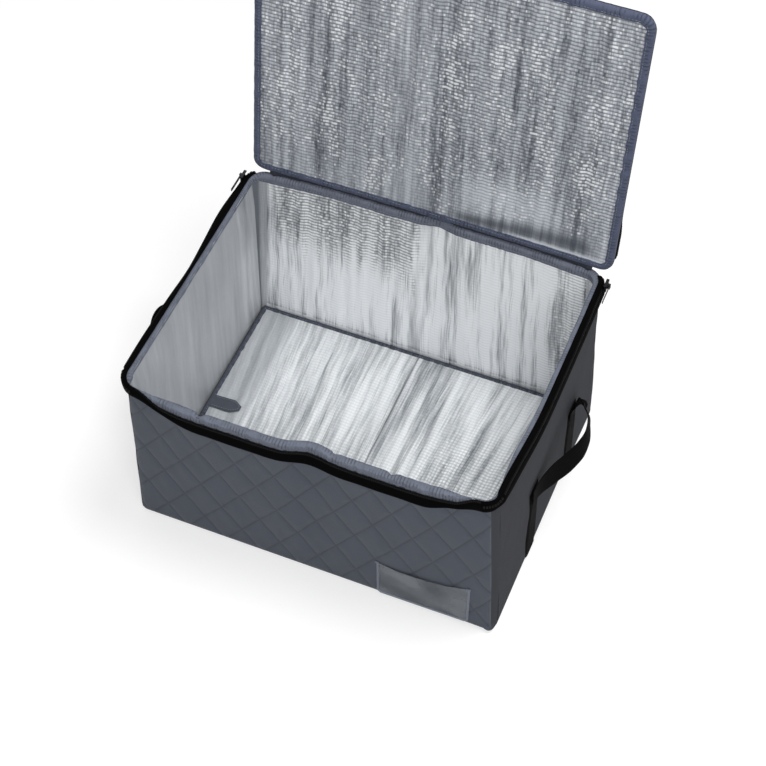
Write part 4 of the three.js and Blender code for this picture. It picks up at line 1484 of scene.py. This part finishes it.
@dataclass
class FloorInsert:
    """The loose padded floor in two halves, with its lifting tab."""

    finishes: Wardrobe
    half_width: float = 0.2482
    half_depth: float = 0.1912
    low: float = 0.0034
    top: float = 0.0086
    gap: float = 0.0004
    radius: float = 0.0025
    reach: float = 0.0066
    folds: Ripples = field(default_factory=lambda: Ripples(61, 0.016, 0.5))
    crumple: Ripples = field(default_factory=lambda: Ripples(62, 0.01, 0.03))
    pucker: Ripples = field(default_factory=lambda: Ripples(63, 0.014, 1.0, 10))

    def build(self) -> list[bpy.types.Object]:
        """Returns the pieces."""
        made = []
        for side, sign, body in (("right", 1, "floor_right"), ("left", -1, "insert_half")):
            made.append(self.panel(side, sign, body))
            made.append(self.binding(side, sign, body))
        made.append(self.tab())
        return made

    def panel(self, side: str, sign: int, body: str) -> bpy.types.Object:
        """Returns one half's foil face and its underside."""
        share = np.concatenate([np.linspace(0, 0.016, 6)[:-1], np.linspace(0.016, 1, 110)])[None, :]
        x = sign * lerp(self.gap, self.half_width - 0.001, share)
        x = x if sign > 0 else x[:, ::-1]
        y = np.linspace(-self.half_depth + 0.001, self.half_depth - 0.001, 120)[:, None]
        x, y = np.broadcast_arrays(x, y)
        edge = np.minimum(np.minimum(np.abs(x) - self.gap, self.half_width - np.abs(x)), self.half_depth - np.abs(y))
        calm = smooth(edge, 0.006, 0.02)
        fan = x * (1 + 0.6 * (0.19 - y))
        rise = (self.folds.at(fan, y) * 0.0007 + self.crumple.at(x, y) * 0.0002) * calm
        crown = 0.0012 * smooth(edge, 0.004, 0.05)
        round_off = 0.0022 * np.clip(1 - (np.abs(x) - self.gap) / 0.004, 0, 1) ** 2
        face = np.stack([x, y, self.top + rise + crown - round_off], -1)
        back = np.stack([x, y, self.low + 0 * x], -1)
        # Painted light on the floor's foil: painted shade in a strip along the left wall and along the folds that fan
        # across it, a little lighter towards the right.
        shaded_left_strip = 1 - smooth(x, -0.205, -0.165)
        fan_fold_shade = bell(x - 0.1 * (0.19 - y), 0.028, 0.018) * smooth(y, 0.0, 0.15)
        fan_fold_shade = fan_fold_shade + bell(x, 0.11, 0.016) * (1 - smooth(y, -0.1, 0.05)) * 0.8
        light = 0.66 + 0.05 * smooth(x, -0.12, 0.05) - 0.20 * shaded_left_strip - 0.30 * fan_fold_shade
        ribs = 0.14 + 0.40 * (1 - smooth(np.hypot(x + 0.02, y + 0.13), 0.05, 0.15))
        ribs = ribs + 0.28 * smooth(x, 0.04, 0.12) * (1 - smooth(y, 0.02, 0.12)) - 0.10 * shaded_left_strip
        marks = {"tone": light, "ribs": ribs, "streaks": 0.70 - 0.55 * shaded_left_strip}
        pattern = Pattern().shell(face, back, np.stack([fan, y], -1), 0, marks)
        piece = pattern.sew(f"insert_face_{side}", [self.finishes["foil_floor"]])
        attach(piece, body)
        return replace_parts(piece, f"insert_foil_{side}", f"insert_board_{side}")

    def binding(self, side: str, sign: int, body: str) -> bpy.types.Object:
        """Returns one half's binding, sewn round its three outer edges."""
        line = [[(self.gap, -self.half_depth, 0, -1)]]
        for ky, begin in ((-1, 270), (1, 0)):
            turn = np.radians(np.linspace(begin, begin + 90, 9))
            px, py = self.half_width - self.radius, ky * (self.half_depth - self.radius)
            line.append(np.stack([
                px + self.radius * np.cos(turn), py + self.radius * np.sin(turn), np.cos(turn), np.sin(turn),
            ], 1))
        line = np.concatenate([*line, [(self.gap, self.half_depth, 0, 1)]])
        run = np.concatenate([[0], np.cumsum(np.hypot(*np.diff(line[:, :2], axis=0).T))])
        spots = np.linspace(0, run[-1], 320)
        outline = [column * sign for column in read_off(spots, run, line)]
        x, y, ox, oy = outline
        top, low = self.top + 0.0002, self.low - 0.0001
        section = np.array([
            (self.reach, top), (self.reach, top + 0.0008), (0.004, top + 0.0013), (0.001, top + 0.0008),
            (-0.0004, top - 0.0012), (-0.0004, low + 0.001), (0.0006, low - 0.0002),
            (self.reach, low - 0.0002), (self.reach, low + 0.0004), (0.0012, low + 0.0008), (0.0012, top - 0.0008),
        ])
        gather = self.pucker.at(spots, 0 * spots)[:, None]
        inset = section[None, :, 0] + gather * 0.0005 * (section[None, :, 0] > 0.003)
        z = section[None, :, 1] + gather * 0.00025 * (section[None, :, 1] > self.low + 0.003)
        rings = joined(*inward(outline, inset), z)
        places = joined(spots[:, None], distances(section)[None, :])
        pattern = Pattern().loft(rings[:, ::-1], places[:, ::-1], 0)
        up = np.tile([0.0, 0.0, 1.0], (len(spots), 1))
        seam = np.stack([x - ox * 0.0048, y - oy * 0.0048, np.full_like(x, top + 0.0010)], -1)
        pattern.beads(seam, up, 1, lift=0.0002)
        piece = pattern.sew(f"insert_edge_{side}", [self.finishes["insert_binding"], self.finishes["thread"]])
        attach(piece, body)
        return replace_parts(piece, f"insert_binding_{side}")

    def tab(self) -> bpy.types.Object:
        """Returns the pointed lifting tab, sewn round its edge."""
        start, length, half, point = -self.half_width + 0.004, 0.046, 0.011, 0.012
        x = np.linspace(0, length, 40)[None, :]
        side = np.linspace(-1, 1, 17)[:, None]
        reach = half * (1 - 0.66 * np.clip((x - length + point) / point, 0, 1))
        y = side * reach
        lift = self.top + 0.0016 + 0.0016 * np.sin(x * 60) * (x / length) + 0.0014 * (x / length) ** 2
        round_off = 0.0007 * (1 - side ** 8) * (1 - smooth(x, length - 0.002, length) * 0.6)
        face, back = joined(start + x, y, lift + round_off), joined(start + x, y, lift - 0.0007)
        pattern = Pattern().shell(face, back, joined(x, y))
        inner = 0.0028
        line = np.array([
            (0.004, -half + inner), (length - point, -half + inner), (length - inner, -half * 0.25),
            (length - inner, half * 0.25), (length - point, half - inner), (0.004, half - inner),
        ])
        spots = np.concatenate([np.linspace(a, b, 10)[:-1] for a, b in zip(line[:-1], line[1:])] + [line[-1:]])
        height = self.top + 0.0016 + 0.0016 * np.sin(spots[:, 0] * 60) * (spots[:, 0] / length)
        height = height + 0.0014 * (spots[:, 0] / length) ** 2 + 0.0007
        row = np.stack([start + spots[:, 0], spots[:, 1], height], -1)
        pattern.beads(row, np.tile([0.0, 0.0, 1.0], (len(row), 1)), 1, 0.0036, 0.0026, 0.0007, 0.0003)
        piece = pattern.sew("lifting_tab", [self.finishes["tab_cloth"], self.finishes["thread"]])
        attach(piece, "insert_half")
        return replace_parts(piece, "pull_tab")


@dataclass
class Base:
    """The bottom's cloth in two halves."""

    box: Carcass
    finishes: Wardrobe
    creases: Ripples = field(default_factory=lambda: Ripples(71, 0.08, 0.12))

    def build(self) -> list[bpy.types.Object]:
        """Returns the pieces."""
        made = []
        for side, sign in (("right", 1), ("left", -1)):
            half = self.box.half_width + self.box.foot_spread - 0.0075
            x = sign * np.linspace(0.0003, half, 60)[None, :]
            x = x if sign > 0 else x[:, ::-1]
            y = np.linspace(-0.1905, 0.1905, 80)[:, None]
            x, y = np.broadcast_arrays(x, y)
            wave = np.abs(self.creases.at(x, y)) * 0.0004
            face = np.stack([x, y, 0.0030 + 0 * x], -1)
            back = np.stack([x, y, 0.0004 + wave], -1)
            pattern = Pattern().shell(face, back, np.stack([x, y], -1))
            piece = pattern.sew(f"bottom_cloth_{side}", [self.finishes["plain_cloth"]])
            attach(piece, f"floor_{side}")
            made.append(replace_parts(piece, f"base_{side}"))
        return made


@dataclass
class Handles:
    """Black webbing on each end: two straps sewn flat and the hand loop between them."""

    cloth: OuterCloth
    finishes: Wardrobe
    width: float = 0.031
    thickness: float = 0.0016
    stitch_in: float = 0.003
    clear: float = 0.0002
    middle_y: float = 0.014
    spacing: float = 0.152
    foot: float = 0.002
    top: float = 0.146
    rear_top: float = 0.133
    route: tuple[tuple[float, ...], ...] = (
        (0.0012, -0.0760, 0.1420, 0.00, 0.00, -1.00), (0.0030, -0.0600, 0.1430, 0.06, 0.00, -1.00),
        (0.0130, -0.0300, 0.1430, 0.30, 0.00, -0.93), (0.0250, -0.0020, 0.1415, 0.42, 0.15, -0.85),
        (0.0330, 0.0210, 0.1430, 0.36, 0.38, -0.79), (0.0350, 0.0420, 0.1450, 0.16, 0.48, -0.83),
        (0.0300, 0.0640, 0.1450, -0.05, 0.60, -0.79), (0.0215, 0.0810, 0.1455, -0.17, 0.68, -0.72),
        (0.0105, 0.0900, 0.1470, -0.32, 0.64, -0.70), (0.0036, 0.0890, 0.1415, -0.10, 0.90, -0.42),
        (0.0014, 0.0895, 0.1330, 0.00, 1.00, 0.00), (0.0012, 0.0900, 0.1220, 0.00, 1.00, 0.00),
    )
    pivot: tuple[float, float, float] = (0.2560, 0.014, 0.138)
    bend_right: float = 0.056
    bend_left: float = 0.125
    left_reach: float = 0.045
    left_lift: float = 0.033

    def build(self) -> list[bpy.types.Object]:
        """Returns the pieces."""
        made = []
        for side, sign in (("right", 1), ("left", -1)):
            for place, end, top in (("front", -1, self.top), ("rear", 1, self.rear_top)):
                made.append(self.strap(side, sign, place, self.middle_y + end * self.spacing / 2, top))
            made.append(self.loop(side, sign))
        return made

    def strap(self, side: str, sign: int, place: str, y: float, top: float) -> bpy.types.Object:
        """Returns one strap that runs up the end wall."""
        z = np.linspace(self.foot, top, 60)[:, None]
        share = np.linspace(-1, 1, 15)[None, :]
        thick = self.thickness * (1 - 0.75 * share ** 10)
        along, z = np.broadcast_arrays(y + share * self.width / 2, z)
        face = self.cloth.outside(side, along, z, thick + self.clear)
        back = self.cloth.outside(side, along, z, -0.0004)
        if sign < 0:
            face, back = back, face
        pattern = Pattern().shell(face, back, np.stack([along, z], -1))
        for edge in (-1, 1):
            self.row(pattern, side, (y + edge * (self.width / 2 - self.stitch_in),) * 2, (0.012, top - 0.006), 60)
        half, low, high = self.width / 2 - self.stitch_in, top - 0.030, top - 0.006
        for lean, start, stop in ((1, low, low), (1, high, high), (1, low, high), (-1, low, high)):
            self.row(pattern, side, (y - lean * half, y + lean * half), (start, stop), 12)
        piece = pattern.sew(f"strap_{place}_{side}_webbing", [self.finishes["webbing"], self.finishes["black_thread"]])
        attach(piece, f"{side}_wall")
        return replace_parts(piece, f"strap_{place}_{side}")

    def row(
        self, pattern: Pattern, side: str, ys: tuple[float, float], zs: tuple[float, float], many: int,
    ) -> None:
        """Adds a straight row of stitches on a strap."""
        y, z = np.linspace(*ys, many), np.linspace(*zs, many)
        line = self.cloth.outside(side, y, z, self.thickness + self.clear)
        out = self.cloth.outside(side, y, z, self.thickness + 0.01)
        pattern.beads(line, out - line, 1, lift=0.0002)

    def loop(self, side: str, sign: int) -> bpy.types.Object:
        """Returns the hand loop: webbing that leaves flat, hangs on its side and lies back against its strap."""
        knots = np.array(self.route)
        wall = self.cloth.outside("right", knots[:, 1], knots[:, 2], self.thickness + self.clear)[:, 0]
        if sign < 0:
            arch = np.maximum(bell(knots[:, 1], -0.014, 0.054) - 0.25, 0) / 0.75
            knots[:8, 3:] = np.stack([-0.42 * arch[:8], 0 * arch[:8], 0 * arch[:8] - 1], -1)
            knots[:, 0] = 0.0012 + self.left_reach * arch
            knots[:, 2] += self.left_lift * arch
        knots[:, 0] += wall.max()
        run = distances(knots[:, :3])
        spots = np.linspace(0, run[-1], 130)
        line = np.stack([self.curve(run, knots[:, k], spots) for k in range(3)], -1)
        wide = np.stack([self.curve(run, knots[:, k], spots) for k in range(3, 6)], -1)
        ahead = np.gradient(line, axis=0)
        ahead = ahead / np.linalg.norm(ahead, axis=1)[:, None]
        across = wide - ahead * np.sum(wide * ahead, 1, keepdims=True)
        across = across / np.linalg.norm(across, axis=1)[:, None]
        normal = np.cross(ahead, across)
        share = np.concatenate([np.linspace(-1, 1, 9), np.linspace(1, -1, 9)])
        thick = np.concatenate([np.ones(9), -np.ones(9)]) * (1 - 0.6 * share ** 8) * self.thickness / 2
        rings = (
            line[:, None, :] + across[:, None, :] * (share[None, :] * self.width / 2)[..., None]
            + normal[:, None, :] * thick[None, :, None]
        )
        rings[..., 0] *= sign
        places = joined(share[None, :] * self.width / 2, spots[:, None])
        if sign > 0:
            rings, places = rings[:, ::-1], places[:, ::-1]
        piece = Pattern().loft(rings, places, 0).sew(f"hand_loop_{side}", [self.finishes["webbing"]])
        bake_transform(piece)
        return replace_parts(piece, f"handle_{side}")

    @staticmethod
    def curve(run: np.ndarray, values: np.ndarray, spots: np.ndarray) -> np.ndarray:
        """Returns a smooth line through values, read at spots."""
        slope = np.gradient(values, run)
        k = np.clip(np.searchsorted(run, spots, side="right") - 1, 0, len(run) - 2)
        h = run[k + 1] - run[k]
        s = (spots - run[k]) / h
        return (
            (2 * s ** 3 - 3 * s ** 2 + 1) * values[k] + (s ** 3 - 2 * s ** 2 + s) * h * slope[k]
            + (3 * s ** 2 - 2 * s ** 3) * values[k + 1] + (s ** 3 - s ** 2) * h * slope[k + 1]
        )


@dataclass
class LabelPocket:
    """The clear pocket low on the front, open at its top."""

    cloth: OuterCloth
    finishes: Wardrobe
    middle: float = 0.159
    half: float = 0.063
    foot: float = 0.0075
    top: float = 0.082
    welt_width: float = 0.0030

    def spot(self, x: np.ndarray, z: np.ndarray, out: np.ndarray | float) -> np.ndarray:
        """Returns points in front of the front wall."""
        x, z, out = np.broadcast_arrays(x, z, out)
        return self.cloth.outside("front", x, z, out)

    def build(self) -> list[bpy.types.Object]:
        """Returns the pieces."""
        return [self.film(), self.welt()]

    def film(self) -> bpy.types.Object:
        """Returns the film, whose upper edge sags."""
        share = np.linspace(-1, 1, 50)[None, :]
        rise = np.linspace(0, 1, 34)[:, None]
        x = self.middle + share * self.half
        top = self.top + 0.004 * share + 0.0045 * share ** 2 - 0.004
        z = lerp(self.foot + 0.0015 * (share + 1) / 2, top, rise)
        gape = 0.0012 * bell(rise, 1.0, 0.15) * (1 - share ** 4)
        sag = 0.0017 + 0.0022 * (1 - share ** 2) * np.sin(rise * 2.2) + gape
        x, z, sag = np.broadcast_arrays(x, z, sag)
        face, back = self.spot(x, z, sag + 0.0004), self.spot(x, z, sag)
        piece = Pattern().shell(face, back, np.stack([x, z], -1)).sew("pocket_film", [self.finishes["clear_film"]])
        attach(piece, "front_right")
        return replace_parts(piece, "label_film")

    def welt(self) -> bpy.types.Object:
        """Returns the welt on three edges, sewn with one row, with a tack at each upper end."""
        pattern = Pattern()
        left, right = self.middle - self.half, self.middle + self.half
        tops = (self.top - 0.0035, self.top + 0.0045)
        line = np.array([(left, tops[0]), (left, self.foot + 0.004), (left + 0.004, self.foot),
                         (right - 0.004, self.foot + 0.0015), (right, self.foot + 0.0055), (right, tops[1])])
        run = distances(line)
        spots = np.linspace(0, run[-1], 130)
        x, z = read_off(spots, run, line)
        dx, dz = np.gradient(x), np.gradient(z)
        size = np.hypot(dx, dz)
        nx, nz = -dz / size, dx / size
        section = np.array([
            (-1, 0.0012), (-1, 0.0022), (-0.6, 0.0031), (0, 0.0026), (0.6, 0.0031), (1, 0.0022), (1, 0.0012),
        ])
        across = section[None, :, 0] * self.welt_width / 2
        rings = self.spot(
            x[:, None] + nx[:, None] * across, z[:, None] + nz[:, None] * across, section[None, :, 1],
        )
        places = joined(spots[:, None], across)
        pattern.loft(rings[:, ::-1], places[:, ::-1], 0)
        row = self.spot(x, z, 0.0027)
        pattern.beads(row, np.tile([0.0, -1.0, 0.0], (len(row), 1)), 1, 0.0034, 0.0024, 0.0007, 0.0003)
        for px, pz in ((left, tops[0]), (right, tops[1])):
            spot = np.linspace(-0.0034, 0.0034, 8)
            tack = self.spot(px + spot, pz + 0 * spot, 0.0032)
            pattern.beads(tack, np.tile([0.0, -1.0, 0.0], (8, 1)), 1, 0.0012, 0.0011, 0.0030, 0.0005)
        piece = pattern.sew("pocket_welt", [self.finishes["welt"], self.finishes["thread"]])
        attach(piece, "front_right")
        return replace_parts(piece, "label_welt")


@dataclass
class ZipSliders:
    """The two sliders and their pulls, whose CAD shapes stay."""

    finishes: Wardrobe
    nodes: dict[str, bpy.types.Object]
    edge: float = 0.00022

    def dress(self) -> None:
        """Rounds the edges and gives them their enamel."""
        for side in ("right", "left"):
            for name in (f"slider_{side}", f"pull_{side}"):
                node = self.nodes[name]
                node.data.materials.clear()
                node.data.materials.append(self.finishes["black_metal"])
                bevel = node.modifiers.new("edge", "BEVEL")
                bevel.width, bevel.segments, bevel.limit_method = self.edge, 2, "ANGLE"
                LOG.info("%s: dressed", name)


@dataclass(frozen=True)
class Lamp:
    """One soft lamp that faces the box."""

    name: str
    spot: tuple[float, float, float]
    aim: tuple[float, float, float]
    size: float
    power: float


@dataclass
class Studio:
    """Pale floor, soft lamps, white surround and the camera."""

    lamps: tuple[Lamp, ...] = (
        Lamp("front", (0.95, -2.2, 2.4), (0.0, 0.0, 0.1), 2.2, 48.0),
        Lamp("top", (0.75, 0.35, 2.85), (0.0, 0.0, 0.1), 1.3, 44.0),
    )
    floor_half: float = 6.0
    floor_grey: float = 0.55
    sensor: float = 36.0
    ambient: float = 0.46
    seen_glow: float = 0.50
    focal: float = 2.443
    azimuth: float = math.radians(22.29)
    elevation: float = math.radians(52.05)
    distance: float = 2.548
    target: tuple[float, float, float] = (0.0036, 0.0416, 0.12)

    def build(self) -> None:
        """Makes the stage."""
        self.floor()
        self.world()
        for lamp in self.lamps:
            data = bpy.data.lights.new(lamp.name, "AREA")
            data.shape, data.size, data.energy = "DISK", lamp.size, lamp.power
            light = bpy.data.objects.new(lamp.name, data)
            light.location = lamp.spot
            toward = Vector(lamp.aim) - Vector(lamp.spot)
            light.rotation_euler = toward.to_track_quat("-Z", "Y").to_euler()
            bpy.context.scene.collection.objects.link(light)
        self.camera()
        bpy.context.scene.view_settings.view_transform = "Standard"

    def floor(self) -> None:
        """Makes the floor, white to the camera and with the object's shadow."""
        size = self.floor_half
        mesh = bpy.data.meshes.new("floor")
        corners = [(-size, -size, 0), (size, -size, 0), (size, size, 0), (-size, size, 0)]
        mesh.from_pydata(corners, [], [(0, 1, 2, 3)])
        floor = bpy.data.objects.new("floor", mesh)
        bpy.context.scene.collection.objects.link(floor)
        grey = (*[self.floor_grey] * 3, 1.0)
        tree = Tree("floor", {"Base Color": grey, "Roughness": 1.0, "Specular IOR Level": 0.0})
        rays = tree.node("ShaderNodeLightPath").outputs
        kinds = ("Camera", "Glossy", "Transmission")
        camera, glossy, through = (Signal(tree, rays[f"Is {kind} Ray"]) for kind in kinds)
        seen = (camera + glossy + through).least(1.0) * self.seen_glow
        glow = tree.node("ShaderNodeEmission", inputs={"Color": (1, 1, 1, 1), "Strength": seen})
        both = tree.node("ShaderNodeAddShader", inputs={0: tree.shader.outputs[0], 1: glow.outputs[0]})
        tree.feed(tree.end.inputs["Surface"], both.outputs[0])
        mesh.materials.append(tree.material)

    def world(self) -> None:
        """Makes the surround: white where it is seen, softer where it only lights."""
        world = bpy.data.worlds.new("surround")
        bpy.context.scene.world = world
        world.use_nodes = True
        graph = Graph(world.node_tree)
        rays, most = graph.node("ShaderNodeLightPath").outputs, {"operation": "MAXIMUM"}
        seen = graph.node("ShaderNodeMath", most, {0: rays["Is Camera Ray"], 1: rays["Is Glossy Ray"]})
        seen = graph.node("ShaderNodeMath", most, {0: seen.outputs[0], 1: rays["Is Transmission Ray"]})
        strength = graph.node("ShaderNodeMapRange", inputs={"Value": seen.outputs[0], "To Min": self.ambient})
        light = graph.node("ShaderNodeBackground", inputs={"Strength": strength.outputs[0], "Color": (1, 1, 1, 1)})
        graph.node("ShaderNodeOutputWorld", inputs={"Surface": light.outputs[0]})

    def camera(self) -> None:
        """Makes the camera at the photograph's view."""
        data = bpy.data.cameras.new("camera")
        data.sensor_fit, data.sensor_width = "HORIZONTAL", self.sensor
        data.lens = self.sensor * self.focal
        camera = bpy.data.objects.new("camera", data)
        back = Vector((
            math.sin(self.azimuth) * math.cos(self.elevation), -math.cos(self.azimuth) * math.cos(self.elevation),
            math.sin(self.elevation),
        ))
        camera.location = Vector(self.target) + back * self.distance
        camera.rotation_mode = "QUATERNION"
        camera.rotation_quaternion = (-back).to_track_quat("-Z", "Y")
        bpy.context.scene.collection.objects.link(camera)
        bpy.context.scene.camera = camera


def main() -> None:
    """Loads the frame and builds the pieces."""
    logging.basicConfig(level=logging.INFO, format="%(name)s %(message)s")
    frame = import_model()
    finishes = Wardrobe()
    box, plane = Carcass(), LidPlane()
    Studio().build()
    cloth = OuterCloth(box, finishes)
    groups = [
        cloth, Lining(box, finishes), RimBinding(box, finishes), RimZip(box, finishes), Lid(plane, box, finishes),
        FloorInsert(finishes), Base(box, finishes), Handles(cloth, finishes), LabelPocket(cloth, finishes),
    ]
    for group in groups:
        LOG.info("%s: %d pieces", type(group).__name__, len(group.build()))
    ZipSliders(finishes, frame["nodes"]).dress()


if __name__ == "__main__":
    main()
